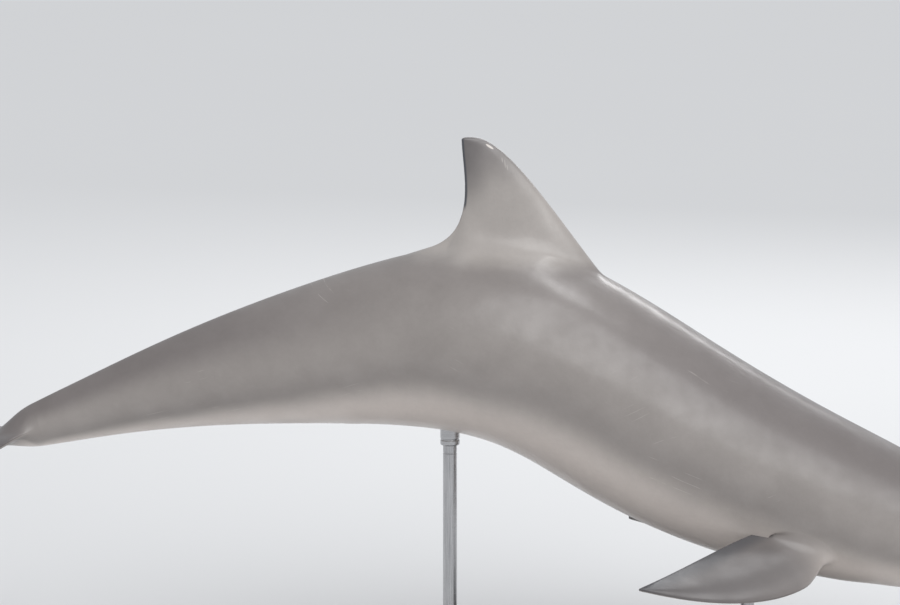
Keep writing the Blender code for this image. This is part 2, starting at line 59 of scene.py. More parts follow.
SECTIONS = (
    # place, back, side, belly, half width
    (0.000, -0.016, -0.038, -0.061, 0.034),
    (0.020, -0.010, -0.041, -0.069, 0.041),
    (0.042, -0.001, -0.046, -0.082, 0.051),
    (0.070, 0.022, -0.054, -0.103, 0.075),
    (0.100, 0.052, -0.058, -0.124, 0.103),
    (0.140, 0.087, -0.052, -0.149, 0.131),
    (0.180, 0.107, -0.045, -0.172, 0.151),
    (0.240, 0.122, -0.041, -0.204, 0.175),
    (0.320, 0.136, -0.042, -0.234, 0.194),
    (0.400, 0.154, -0.036, -0.240, 0.201),
    (0.465, 0.179, -0.020, -0.223, 0.200),
    (0.530, 0.203, -0.002, -0.196, 0.192),
    (0.600, 0.184, 0.005, -0.168, 0.170),
    (0.700, 0.143, 0.004, -0.130, 0.124),
    (0.800, 0.101, 0.002, -0.088, 0.077),
    (0.880, 0.067, 0.001, -0.057, 0.047),
    (0.930, 0.047, 0.000, -0.040, 0.033),
    (1.000, 0.012, 0.000, -0.010, 0.020),
)
POSTURE = (
    # place, slope of the spine line towards the beak in degrees
    (0.00, -12.0), (0.10, -15.0), (0.20, -21.0), (0.30, -26.0), (0.38, -27.0), (0.46, -20.0),
    (0.54, -5.0), (0.62, 6.0), (0.72, 11.0), (0.82, 15.0), (0.92, 17.0), (1.02, 13.0),
)
PLACED_AT = 0.585
PLACED_OFFSET = np.array((-0.1531, 0.0, -0.1638))
BACK_POWER = ((0.0, 2.2), (0.14, 2.1), (0.45, 1.95), (0.70, 1.75), (0.88, 1.62), (1.0, 1.8))
BELLY_POWER = ((0.0, 2.4), (0.14, 2.25), (0.45, 2.1), (0.66, 2.0), (0.85, 1.65), (1.0, 1.8))
NOSE_ROUNDING = 0.014
UPPER_BEAK_SETBACK = 0.0040  # how far the upper beak ends behind the lower jaw
MELON_HEIGHT = 0.047
MELON_START, MELON_FULL = 0.0395, 0.082
MELON_FADE, MELON_END = 0.086, 0.175
MOUTH_END = 0.121
# The mouth line, and behind it the line that the skin's middle row follows to the flukes' edge.
MIDDLE_LINE = (
    (0.000, -0.038), (0.020, -0.041), (0.042, -0.046), (0.070, -0.059), (0.095, -0.072),
    (0.110, -0.074), (0.121, -0.067), (0.135, -0.066), (0.160, -0.072), (0.220, -0.066),
    (0.320, -0.046), (0.465, -0.020), (0.600, 0.005), (0.800, 0.002), (0.925, 0.000),
    (1.000, 0.000),
)
STOCK_END = 0.925
FIN_SOFTENING, STOCK_SOFTENING = 8, 4  # stations over which a fold across the skin is rounded off

FIN_LEADING = ((0.1760, -0.0270), (0.0881, 0.0850), (0.0006, 0.2228), (-0.0660, 0.2485))
FIN_TIP = ((-0.0660, 0.2485), (-0.0810, 0.2535), (-0.1070, 0.2545), (-0.1070, 0.2465))
FIN_TRAILING = ((-0.1070, 0.2465), (-0.1040, 0.1766), (-0.0740, 0.0609), (-0.1700, 0.0305))
FIN_TOP, FIN_REACH = 0.2518, 0.23  # its top over its root, and its reach over the line of the back
FIN_FRONT, FIN_REAR = 0.4700, 0.6060  # places where the fin's outline leaves and meets the back
FIN_HALF_THICKNESS = 0.029
FIN_EDGE, FLUKE_EDGE = 0.0016, 0.0012  # radii that the thin edges are rounded to
FIN_EDGE_START = 0.0015  # from the outline to where the fin has its own width
FIN_FOOT_DROP = 0.016  # how far the fin's sides run down below the line of the back
FIN_SINK = 0.070  # depth below the back at which the fin's own thickness has faded
FIN_SWEEP = 0.013  # softness of the sweep into the back
FIN_RUN_IN = 0.055  # places over which that sweep grows, from either end of the fin
FIN_NICKS = (
    # height, depth and half width of each nick in the rear edge
    (0.1237, 0.0040, 0.0026),
    (0.1044, 0.0052, 0.0034),
    (0.1590, 0.0014, 0.0022),
)

FLIPPER_PLACE, FLIPPER_ANGLE = 0.238, math.radians(122)
FLIPPER_LEADING = ((0.0, 0.064), (0.11, 0.092), (0.25, 0.030), (0.372, -0.088))
FLIPPER_TRAILING = ((0.0, -0.064), (0.08, -0.094), (0.20, -0.080), (0.372, -0.092))
FLIPPER_LENGTH, SHOULDER_LENGTH, SHOULDER_HALF = 0.372, 0.055, 0.040
FLIPPER_HALF_THICKNESS = 0.0185
FLIPPER_SWEEP, FLIPPER_REACH, FLIPPER_DROOP = -0.58, 0.62, -0.53

FLUKE_LEADING = ((0.0, 0.0343), (0.080, 0.0250), (0.103, 0.215), (0.215, 0.295))
FLUKE_TRAILING = ((0.215, 0.295), (0.172, 0.205), (0.200, 0.110), (0.204, 0.036))
FLUKE_NOTCH = ((0.204, 0.036), (0.205, 0.012), (0.180, 0.0))
FLUKE_THICKNESS_RATIO = 0.11
FLUKE_RIDGE_END = 0.165
FLUKE_RIDGE_SPREAD = 0.30
FLUKE_DROOP = 0.018

EYE_LOW, EYE_HIGH = corners_of("eye_left")
EYE_MIDDLE, EYE_RADIUS = (EYE_LOW + EYE_HIGH) / 2, (EYE_HIGH - EYE_LOW)[2] / 2
EYE_OPENING = (0.0130, 0.0070, 0.0058)  # half length, reach up, reach down
LID_THICKNESS, LID_RUN_IN = 0.0016, 0.35  # the second is a share of the way in from the window
LID_FOLDS = (
    # how far out in half openings, height, half width, share above the eye and below it
    (1.20, 0.0004, 0.16, 1, 1),
    (1.60, -0.0006, 0.20, 1, 1),
    (1.95, 0.0002, 0.26, 1, 1),
    (2.35, -0.0003, 0.26, 1, 0),
    (2.60, -0.0002, 0.34, 0, 1),
)
EYE_RINGS, EYEBALL_RINGS, EYE_SEGMENTS = 64, 64, 96
EYE_WINDOW, FLIPPER_WINDOW = (0.036, 0.030), (0.105, 0.075)  # half sizes of what is cut out
FORWARDS = np.array((1.0, 0, 0))
EYE_SETTLING, EYE_SHRINK = 0.00035, 0.0002  # how far the skin behind it and the ball draw apart
LID_BLEND, LID_CURL = 0.007, 0.0004  # into the skin around, and in over the eyeball
CORNEA_RISE, CORNEA_ANGLE = 0.0007, math.radians(38)

BLOWHOLE_PLACE, BLOWHOLE_RADIUS, BLOWHOLE_SPAN = 0.142, 0.021, math.radians(75)
MELON_CREASE = 0.0402
NAVEL_PLACE, TEAT_SIDE = 0.475, 0.024
VENT_SPAN, TEAT_SPAN = (0.648, 0.688, 0.006), (0.661, 0.674, 0.004)  # from, to and softness
THROAT_WAVE = 0.021
# Grooves: depth and half width, and the rim's height, distance and half width.
MOUTH_GROOVE = (0.0030, 0.0010, 0.0007, 0.0042, 0.0026)
CURL_GROOVE = (0.0014, 0.0055, 0.0007, 0.0130, 0.0060)
CREASE_GROOVE = (0.0026, 0.0016, 0.0016, 0.0042, 0.0030)
BLOWHOLE_GROOVE = (0.0042, 0.0011, 0.0016, 0.0050, 0.0036)
NAVEL_GROOVE = (0.0024, 0.0060, 0.0008, 0.0130, 0.0060)
VENT_GROOVE = (0.0030, 0.0018, 0.0013, 0.0065, 0.0050)
TEAT_GROOVE = (0.0020, 0.0014, 0.0007, 0.0050, 0.0040)

# The board's roundings: its corners, its top edge and its foot.
BOARD_CORNER, BOARD_EDGE, BOARD_FOOT = 0.07, 0.004, 0.0015
FLANGE_ROUNDING, CUP_ROUNDING = 0.0025, 0.0015
BOARD_SHARP, STEEL_SHARP = 35, 40  # degrees from which an edge stays hard
CUP_HEIGHT, CUP_WALL, CUP_OVERLAP = 0.034, 0.0055, 0.001
JOINT_HEIGHT = 0.050  # of a rod's joint lines, from its foot and from its top
ROD_AXIS = 0.30  # from the middle of the board to a rod's axis
SCREW_CIRCLE = 0.036  # from the rod's axis to a screw
# Profiles: how far in or out, and the height.
BOARD_GROOVE = ((0.0160, 0.0), (0.0166, -0.0011), (0.0182, -0.0011), (0.0188, 0.0))
SCREW_HEAD = ((0.0046, 0.0), (0.0046, 0.0004), (0.0043, 0.0014), (0.0034, 0.0023), (0.0024, 0.0026))
SCREW_SOCKET = ((0.0016, 0.00255), (0.0015, 0.0006))
JOINT_LINE = ((0.0, -0.0016), (-0.0008, -0.0008), (-0.0008, 0.0008), (0.0, 0.0016))
COLLAR = ((0.0050, 0.0), (0.0006, 0.006), (-0.0020, 0.006))
CUP_OUTSIDE = (
    (-0.0020, 0.0), (0.0, 0.002), (0.0, 0.010), (-0.0012, 0.0112), (-0.0012, 0.0128), (0.0, 0.014),
)

PALE_LINE = (-0.20, 0.8445, 0.07)  # a point on the line below the pale fin foot, and its fall
SCUFF_PLACE = (-0.2200, 1.0735)  # along and up, of the pale scuff below the fin's tip
SCRATCHES = (
    # place along and up, tilt, half length
    ((-0.1905, 1.0400), math.radians(-84), 0.0085),
    ((-0.1860, 1.0330), math.radians(-80), 0.0060),
    ((-0.1960, 1.0480), math.radians(-82), 0.0050),
)

CAMERA_LENS, CAMERA_DISTANCE, CAMERA_ELEVATION = 240.0, 12.0, 10.0
CAMERA_SENSOR, CAMERA_REACH = 36.0, 500.0
CAMERA_AIM = (-0.30, 0.0, 0.758)
FLOOR_REACH, FLOOR_GAP = 400.0, 0.0005
FLOOR_PALE = (0.74, 0.745, 0.75, 1.0)
AMBIENT = (0.50, 0.51, 0.53, 1.0)
SOFTBOXES = (
    # name, place, aim, size, power
    ("top", (1.3, 0.7, 4.2), (0.1, 0, 0.8), (2.4, 0.40), 26.0),
    ("rim", (1.0, 4.6, 2.8), (-0.1, 0, 0.8), (2.8, 0.8), 44.0),
)
SUN_STRENGTH, SUN_ANGLE, SUN_FROM = 1.75, math.radians(55), (0.45, -0.90, 0.85)

# What each point of the skin carries for its finish, in the columns after x, y and z.
SKIN_VALUES = (
    "place", "level", "fin_share", "rear_gap", "limb", "mouth_gap", "slit_gap", "eye_gap", "under",
)
COLUMN = {name: 3 + i for i, name in enumerate(SKIN_VALUES)}

TINY = 1e-9  # kept away from 0 where something is divided by it

# How finely the skin is divided.
ROWS_ABOVE, ROWS_BELOW = 90, 60
FIN_ROWS = 50
FIN_STATIONS = 400
SHOULDER_RINGS, FLIPPER_RINGS = 14, 59
FLUKE_RIBS = (90, 90)  # to the tips, and from there to the notch


# ---- curves

def spline(points):
    """The natural cubic spline through (place, value) points, as a function."""
    x, y = np.array(points, float).T
    gap = np.diff(x)
    count = len(x)
    system = np.eye(count)
    bend = np.zeros(count)
    for i in range(1, count - 1):
        system[i, i - 1 : i + 2] = gap[i - 1], 2 * (gap[i - 1] + gap[i]), gap[i]
        bend[i] = 3 * ((y[i + 1] - y[i]) / gap[i] - (y[i] - y[i - 1]) / gap[i - 1])
    curve = np.linalg.solve(system, bend)

    def value(place):
        i = np.clip(np.searchsorted(x, place) - 1, 0, count - 2)
        d = place - x[i]
        slope = (y[i + 1] - y[i]) / gap[i] - gap[i] * (2 * curve[i] + curve[i + 1]) / 3
        return y[i] + slope * d + curve[i] * d**2 + (curve[i + 1] - curve[i]) / (3 * gap[i]) * d**3

    return value


def bezier(controls, steps):
    """Points along the Bezier curve of three or four control points."""
    controls = np.array(controls, float)
    degree = len(controls) - 1
    t = np.linspace(0, 1, steps + 1)[:, None]
    weights = [math.comb(degree, k) * t**k * (1 - t) ** (degree - k) for k in range(degree + 1)]
    return sum(w * c for w, c in zip(weights, controls))


def ease(t):
    """Rises from 0 to 1 with no corner at either end."""
    t = np.clip(t, 0, 1)
    return t**3 * (t * (6 * t - 15) + 10)


def window(x, low, high, soft):
    """1 between low and high, falling to 0 over a soft margin outside them."""
    return ease((x - low) / soft + 1) * (1 - ease((x - high) / soft))


def bump(x, width):
    """A bell of height 1 round 0."""
    return np.exp(-((x / width) ** 2))


def wing(share):
    """Half thickness of a wing slice at a share of its chord from the front, 1 at the most."""
    share = np.clip(share, 0, 1)
    shape = 0.2969 * np.sqrt(share) - 0.126 * share - 0.3516 * share**2
    shape += 0.2843 * share**3 - 0.1036 * share**4
    return shape * 10


def round_edge(gap, radius):
    """Height over a rounded edge, at a distance in from it."""
    t = np.clip(gap / radius, 0, 1)
    return radius * np.sqrt(1 - (1 - t) ** 2)


def soft_max(a, b, blend):
    """The larger of two heights, with the corner between them rounded off."""
    mix = np.clip(0.5 + 0.5 * (b - a) / blend, 0, 1)
    return a + (b - a) * mix + blend * mix * (1 - mix)


def unit(vectors):
    """The same directions with length 1."""
    return vectors / np.maximum(np.linalg.norm(vectors, axis=-1, keepdims=True), 1e-12)


def square_to(axis, way):
    """The unit direction square to an axis that is nearest to a way."""
    return unit(way - axis * (way @ axis))


def full_turn(count):
    """Angles once round."""
    return np.linspace(0, 2 * math.pi, count, endpoint=False)


def running(steps):
    """Running total of steps, from 0."""
    return np.concatenate([[0], np.cumsum(steps)])


def lengths(points):
    """Length along a row of points, from its start."""
    return running(np.linalg.norm(np.diff(points, axis=0), axis=1))


def evenly(total, count, line):
    """count + 1 values of a line, spaced evenly by its running total."""
    return np.interp(np.linspace(0, total[-1], count + 1), total, line)


def resample(points, shares):
    """Points at shares of the length of a row of points."""
    run = lengths(points)
    return np.stack([np.interp(shares * run[-1], run, axis) for axis in points.T], axis=1)


def gaps_to(curve, points, chunk=20000):
    """How far each 2-D point is from a curve."""
    legs = np.diff(curve, axis=0)
    sizes = np.maximum((legs**2).sum(axis=1), 1e-18)
    gaps = []
    for start in range(0, len(points), chunk):
        part = points[start : start + chunk]
        apart = (part[:, :1] - curve[:, 0]) ** 2 + (part[:, 1:] - curve[:, 1]) ** 2
        index = apart.argmin(axis=1)
        misses = []
        for leg in (np.maximum(index - 1, 0), np.minimum(index, len(legs) - 1)):
            from_start = part - curve[leg]
            along = np.clip((from_start * legs[leg]).sum(axis=1) / sizes[leg], 0, 1)
            misses.append(np.linalg.norm(from_start - legs[leg] * along[:, None], axis=1))
        gaps.append(np.minimum(*misses))
    return np.concatenate(gaps)


def between_edges(leading, trailing, points):
    """Distances to the front and rear edges of a blade, and the share of the way between them."""
    from_front, from_rear = gaps_to(leading, points), gaps_to(trailing, points)
    return from_front, from_rear, from_front / (from_front + from_rear + TINY)


def crowded(count, *crowds):
    """count + 1 shares from 0 to 1, closer together round each (place, strength, reach)."""
    fine = np.linspace(0, 1, 4001)
    density = 1 + sum(s * bump(fine - place, reach) for place, s, reach in crowds)
    return evenly(running((density[1:] + density[:-1]) / 2), count, fine)


# ---- the body's sections

_table = np.array(SECTIONS)
back_height, side_height, belly_height, half_width = (
    spline(_table[:, [0, column]]) for column in (1, 2, 3, 4)
)
back_power = spline(BACK_POWER)
belly_power = spline(BELLY_POWER)
middle_height = spline(MIDDLE_LINE)
slope = spline([(place, math.radians(degrees)) for place, degrees in POSTURE])

SPINE_PLACES = np.linspace(0, 1.02, 2449)
_angles = slope(SPINE_PLACES)
_headings = np.stack([-np.cos(_angles), 0 * _angles, -np.sin(_angles)], axis=1)
_steps = (_headings[1:] + _headings[:-1]) / 2 * np.diff(SPINE_PLACES)[:, None] * LENGTH
SPINE_LINE = np.concatenate([np.zeros((1, 3)), np.cumsum(_steps, axis=0)])
SPINE_LINE += FIN_ROOT + PLACED_OFFSET - [
    np.interp(PLACED_AT, SPINE_PLACES, axis) for axis in SPINE_LINE.T
]


def on_body(place, sideways, up):
    """The point that lies sideways and up from the spine line, square to it."""
    place, sideways, up = np.broadcast_arrays(place, sideways, up)
    angle = slope(place)
    x, y, z = (np.interp(place, SPINE_PLACES, axis) for axis in SPINE_LINE.T)
    return np.stack([x - np.sin(angle) * up, y + sideways, z + np.cos(angle) * up], axis=-1)


def off_body(x, z, place):
    """Place and height over the spine line of points in the side view, from a guessed place."""
    for _ in range(8):
        cx, cz = (np.interp(place, SPINE_PLACES, SPINE_LINE[:, axis]) for axis in (0, 2))
        angle = slope(place)
        ahead = (x - cx) * np.cos(angle) + (z - cz) * np.sin(angle)
        place = np.clip(place - ahead / LENGTH * 0.9, 0, 1.02)
    return place, -(x - cx) * np.sin(angle) + (z - cz) * np.cos(angle)


def melon(place):
    rise = ease((place - MELON_START) / (MELON_FULL - MELON_START))
    fade = 1 - ease((place - MELON_FADE) / (MELON_END - MELON_FADE))
    return MELON_HEIGHT * rise * fade


def top_power(place):
    """The upper half's power: the melon is rounder than the brow either side of it."""
    return back_power(place) - 0.34 * melon(place) / MELON_HEIGHT


def section_sizes(place):
    """Half width and the reaches up and down from the widest line."""
    closing = np.sqrt(1 - (1 - np.clip(place / NOSE_ROUNDING, 0, 1)) ** 2)
    side = side_height(place)
    up = (back_height(place) + melon(place) - side) * closing
    down = (side - belly_height(place)) * closing
    return half_width(place) * closing**0.8, up, down


def section(place, angles):
    """(sideways, up) at each angle, which runs from 0 at the back to pi at the belly."""
    width, up_reach, down_reach = section_sizes(place)
    upper = angles < math.pi / 2
    power = np.where(upper, top_power(place), belly_power(place))
    sideways = width * np.clip(np.sin(angles), 0, 1) ** (2 / power)
    height = np.abs(np.cos(angles)) ** (2 / power)
    return sideways, side_height(place) + np.where(upper, up_reach, -down_reach) * height


def from_widest(place, height):
    """Half width, and how far a height is over the widest line, with the reach and power there."""
    width, up_reach, down_reach = section_sizes(place)
    rise = height - side_height(place)
    reach = np.where(rise > 0, up_reach, down_reach)
    return width, rise, reach, np.where(rise > 0, back_power(place), belly_power(place))


def middle_angle(place):
    """The angle at which a section is as high as the middle line."""
    _, rise, reach, power = from_widest(place, middle_height(place))
    share = np.clip(np.abs(rise) / np.maximum(reach, TINY), 0, 1)
    return np.arccos(np.sign(rise) * share ** (power / 2))


def half_width_at(place, height):
    """Half width of the body at a height over the spine line, 0 above the back."""
    width, rise, reach, power = from_widest(place, height)
    return width * np.clip(1 - (np.abs(rise) / reach) ** power, 0, 1) ** (1 / power)


# ---- the skin's grid

def stations_between(start, end, density):
    fine = np.linspace(start, end, 2001)
    total = running(density(fine[1:]) * (end - start) / 2000)
    return evenly(total, round(total[-1]), fine)


def station_density(place):
    """Stations for each whole LENGTH."""
    density = 440 + 1500 * window(place, -0.1, 0.150, 0.03)
    density += 2600 * window(place, 0.1345, 0.1475, 0.004)
    density += 500 * window(place, 0.185, 0.300, 0.03)
    return density + 1400 * window(place, FIN_FRONT, FIN_REAR, 0.03)


def place_stations():
    """Places of all sections, and which of them is the fin's first."""
    nose = NOSE_ROUNDING * np.linspace(0, 1, 37) ** 2
    ahead = stations_between(NOSE_ROUNDING, FIN_FRONT, station_density)
    over = np.linspace(FIN_FRONT, FIN_REAR, FIN_STATIONS + 1)
    behind = stations_between(FIN_REAR, STOCK_END, station_density)
    fin_start = len(nose) + len(ahead) - 2
    return np.concatenate([nose, ahead[1:], over[1:], behind[1:]]), fin_start


def row_shares(place):
    """Shares of the length from the back to the middle line, and from there to the belly."""
    fineness = window(place, -1, MOUTH_END, 0.08) + ease((place - 0.83) / 0.08)
    return [
        crowded(count, *plain) * (1 - fineness) + crowded(count, *fine) * fineness
        for count, plain, fine in (
            (ROWS_ABOVE, ((0, 3, 0.05), (1, 1, 0.05)), ((0, 4, 0.06), (1, 14, 0.03))),
            (ROWS_BELOW, ((0, 1, 0.05), (1, 2, 0.06)), ((0, 13, 0.04), (1, 2, 0.08))),
        )
    ]


def body_rows(places):
    """Sideways and height of every row at every station, the fins left out."""
    shares = np.linspace(0, 1, 361)
    rows = []
    for place in places:
        angle = middle_angle(place)
        above = np.stack(section(place, angle * shares), axis=1)
        below = np.stack(section(place, angle + (math.pi - angle) * shares), axis=1)
        above[0, 0] = below[-1, 0] = 0
        to_middle, to_belly = row_shares(place)
        rows.append(np.concatenate([resample(above, to_middle), resample(below, to_belly)[1:]]))
    return np.array(rows)


def fin_edges():
    """The fin's front edge up to its tip and its rear edge down to the back, in the side view."""
    front, rear = (
        (on_body(p, 0.0, back_height(p)) - FIN_ROOT)[[0, 2]] for p in (FIN_FRONT, FIN_REAR)
    )
    leading = bezier(FIN_LEADING, 200)
    leading += (front - leading[0]) * np.linspace(1, 0, len(leading))[:, None] ** 4
    leading = np.concatenate([leading, bezier(FIN_TIP, 40)[1:]])
    trailing = bezier(FIN_TRAILING, 200)
    run_out = bezier((FIN_TRAILING[-1], (-0.1905, 0.0240), rear), 40)
    trailing = resample(np.concatenate([trailing, run_out[1:]]), np.linspace(0, 1, 400))
    return leading, trailing


def softened(depth, end_depth, sweep):
    """Depth below the back, from 0 at the fin's outline and with no corner on the way down."""
    held = np.logaddexp(0, end_depth / sweep) / np.logaddexp(0, -end_depth / sweep)
    return sweep * (np.logaddexp(0, depth / sweep) - held * np.logaddexp(0, -depth / sweep))


def fin_half_width(points, place, height, leading, trailing):
    """Half width of the dorsal fin and of the back that it grows out of, from its outline down."""
    from_front, from_rear, share = between_edges(leading, trailing, points)
    rise = np.clip(points[:, 1] / FIN_TOP, 0, 1)
    blade = FIN_HALF_THICKNESS * (1 - 0.84 * rise**1.25) * wing(share)
    blade += round_edge(np.minimum(from_front, from_rear), FIN_EDGE)
    along = np.clip((place - FIN_FRONT) / (FIN_REAR - FIN_FRONT), 0, 1)
    depth = back_height(place) - height
    depth -= FIN_FOOT_DROP * np.sin(math.pi * along) ** 2 * (1 - ease(depth / FIN_SINK))
    inward = ease(min(place[-1] - FIN_FRONT, FIN_REAR - place[-1]) / FIN_RUN_IN)
    blade *= 1 - ease(depth / (FIN_SINK * (0.15 + 0.85 * inward)))
    soft_depth = softened(depth, min(depth[0], 0), FIN_SWEEP * (0.25 + 0.75 * inward))
    side = np.hypot(blade, half_width_at(place, back_height(place) - np.maximum(soft_depth, 0)))
    return side * round_edge(lengths(points) / FIN_EDGE_START, 1)


def raise_fin(points, places, fin_start):
    """Draws rows up over the fin. Returns how far up and from the rear edge each point is."""
    leading, trailing = fin_edges()
    edge = np.concatenate([leading, trailing[1:]])
    run = lengths(edge)
    turn = lengths(leading)[-1] / run[-1]
    falling = slice(len(edge) - 1, len(leading), -1)
    nicks = [np.interp(nick[0], edge[falling, 1], run[falling]) for nick in FIN_NICKS]
    crowds = [(at / run[-1], 2.5, 0.012) for at in nicks]
    outline = resample(edge, crowded(FIN_STATIONS, (turn, 3.0, 0.02), *crowds))
    run = lengths(outline)
    bites = sum(depth * bump(run - at, width) for at, (_, depth, width) in zip(nicks, FIN_NICKS))
    fin_share = np.zeros(points.shape[:2])
    rear_gap = np.full(points.shape[:2], 1.0)
    steps = (1 - np.cos(np.linspace(0, math.pi / 2, 420))) ** 1.3
    for i in range(1, FIN_STATIONS):
        k = fin_start + i
        foot = (points[k, FIN_ROWS] - FIN_ROOT)[[0, 2]]
        line = outline[i] + (foot - outline[i]) * steps[:, None]
        line[:, 0] += bites[i] * np.maximum(1 - steps / 0.2, 0) ** 2
        place, height = off_body(line[:, 0] + FIN_ROOT[0], line[:, 1] + FIN_ROOT[2], places[k])
        side = fin_half_width(line, place, height, leading, trailing)
        side[0] = 0
        rib = np.column_stack([line[:, 0], side, line[:, 1], height - back_height(place)])
        run = lengths(rib[:, :3])
        shares = row_shares(places[k])[0][: FIN_ROWS + 1]
        at = shares / shares[-1] * run[-1]
        x, y, z, above = (np.interp(at, run, column) for column in rib.T)
        points[k, : FIN_ROWS + 1] = np.stack([x, y, z], axis=1) + FIN_ROOT
        fin_share[k, : FIN_ROWS + 1] = np.clip(above / FIN_REACH, 0, 1)
        rear_gap[k, : FIN_ROWS + 1] = gaps_to(trailing, np.stack([x, z], axis=1))
    return fin_share, rear_gap


def fluke_heights(back, sideways, leading, trailing):
    """Upper and lower surface over points behind the tail stock and to one side of it."""
    front = np.interp(sideways, leading[:, 1], leading[:, 0])
    rear = np.interp(sideways, trailing[::-1, 1], trailing[::-1, 0])
    points = np.column_stack([back, sideways])
    _, from_rear, share = between_edges(leading, trailing, points)
    blade = np.maximum(rear - front, 0) * FLUKE_THICKNESS_RATIO / 2 * wing(share)
    blade += round_edge(from_rear, FLUKE_EDGE)
    edge = np.interp(back, leading[:, 0], leading[:, 1])
    spread = half_width(STOCK_END) + FLUKE_RIDGE_SPREAD * back
    spread = edge * ((1 + (edge / spread) ** 8) / 2) ** -0.125
    sinking = 1 - ease(back / FLUKE_RIDGE_END)
    softening = ease(back / 0.08)
    droop = -FLUKE_DROOP * (sideways / leading[-1, 1]) ** 2
    surfaces = []
    for height, power, sign in ((back_height, back_power, 1), (belly_height, belly_power, -1)):
        oval = power(STOCK_END)
        inside = np.clip(1 - (sideways / spread) ** (oval + (2 - oval) * softening), 0, 1)
        reach = np.maximum(np.abs(height(STOCK_END + back / LENGTH)), 0.002)
        ridge = reach * sinking * inside ** (1 / oval + (2 - 1 / oval) * softening)
        surfaces.append(droop + sign * np.cbrt(blade**3 + ridge**3))
    return surfaces


def fluke_rows():
    """Back, sideways and up of every row on the flukes' ribs, and the distance to the rear edge."""
    leading = bezier(FLUKE_LEADING, 240)
    trailing = np.concatenate([bezier(FLUKE_TRAILING, 200), bezier(FLUKE_NOTCH, 60)[1:]])
    to_tip = crowded(FLUKE_RIBS[0], (1, 3, 0.08))
    to_notch = crowded(FLUKE_RIBS[1], (0, 3, 0.08), (1, 3, 0.15))[1:]
    ends = np.concatenate([resample(leading, to_tip), resample(trailing, to_notch)])
    starts = np.concatenate([0.35 * to_tip, 0.35 + 0.65 * to_notch]) * trailing[-1, 0]
    to_edge, to_middle = row_shares(STOCK_END)
    steps = np.sin(np.linspace(0, math.pi / 2, 300))
    rows = []
    for start, end in zip(starts[1:], ends[1:]):
        back = start + (end[0] - start) * steps
        side = end[1] * steps
        upper, lower = fluke_heights(back, side, leading, trailing)
        upper[-1] = lower[-1] = (upper[-1] + lower[-1]) / 2
        above = resample(np.column_stack([back, side, upper]), to_edge)
        below = resample(np.column_stack([back, side, lower])[::-1], to_middle)
        rows.append(np.concatenate([above, below[1:]]))
    rows = np.array(rows)
    rows[:, [0, -1], 1] = 0
    rear_gap = gaps_to(trailing, rows[..., :2].reshape(-1, 2)).reshape(rows.shape[:2])
    return rows, rear_gap


def soften(points, station, reach):
    """Rounds off the fold that runs across the grid at a station, over a reach of stations."""
    near = np.arange(station - 3 * reach, station + 3 * reach + 1)
    steps = np.arange(-2 * reach, 2 * reach + 1)
    weights = bump(steps, reach)
    evened = sum(w * points[near + step] for w, step in zip(weights / weights.sum(), steps))
    points[near] += (evened - points[near]) * bump(near - station, 1.5 * reach)[:, None, None]


def grid_normals(points):
    """Unit normals of the grid, pointing out of the body."""
    along = np.gradient(points, axis=0)
    across = np.gradient(points, axis=1)
    normal = np.cross(across, along)
    normal[:, [0, -1], 1] = 0
    angle = float(slope(0.0))
    normal[0] = math.cos(angle), 0, math.sin(angle)
    normal[-1] = normal[-2, 0]
    return unit(normal)


# ---- folds, slits and creases

def groove(gap, shape, share=1, rim_share=1):
    """Height across a groove and its soft rim, at a distance from the groove's middle."""
    depth, width, rim, rim_gap, rim_width = shape
    return rim * rim_share * bump(gap - rim_gap, rim_width) - depth * share * bump(gap, width)


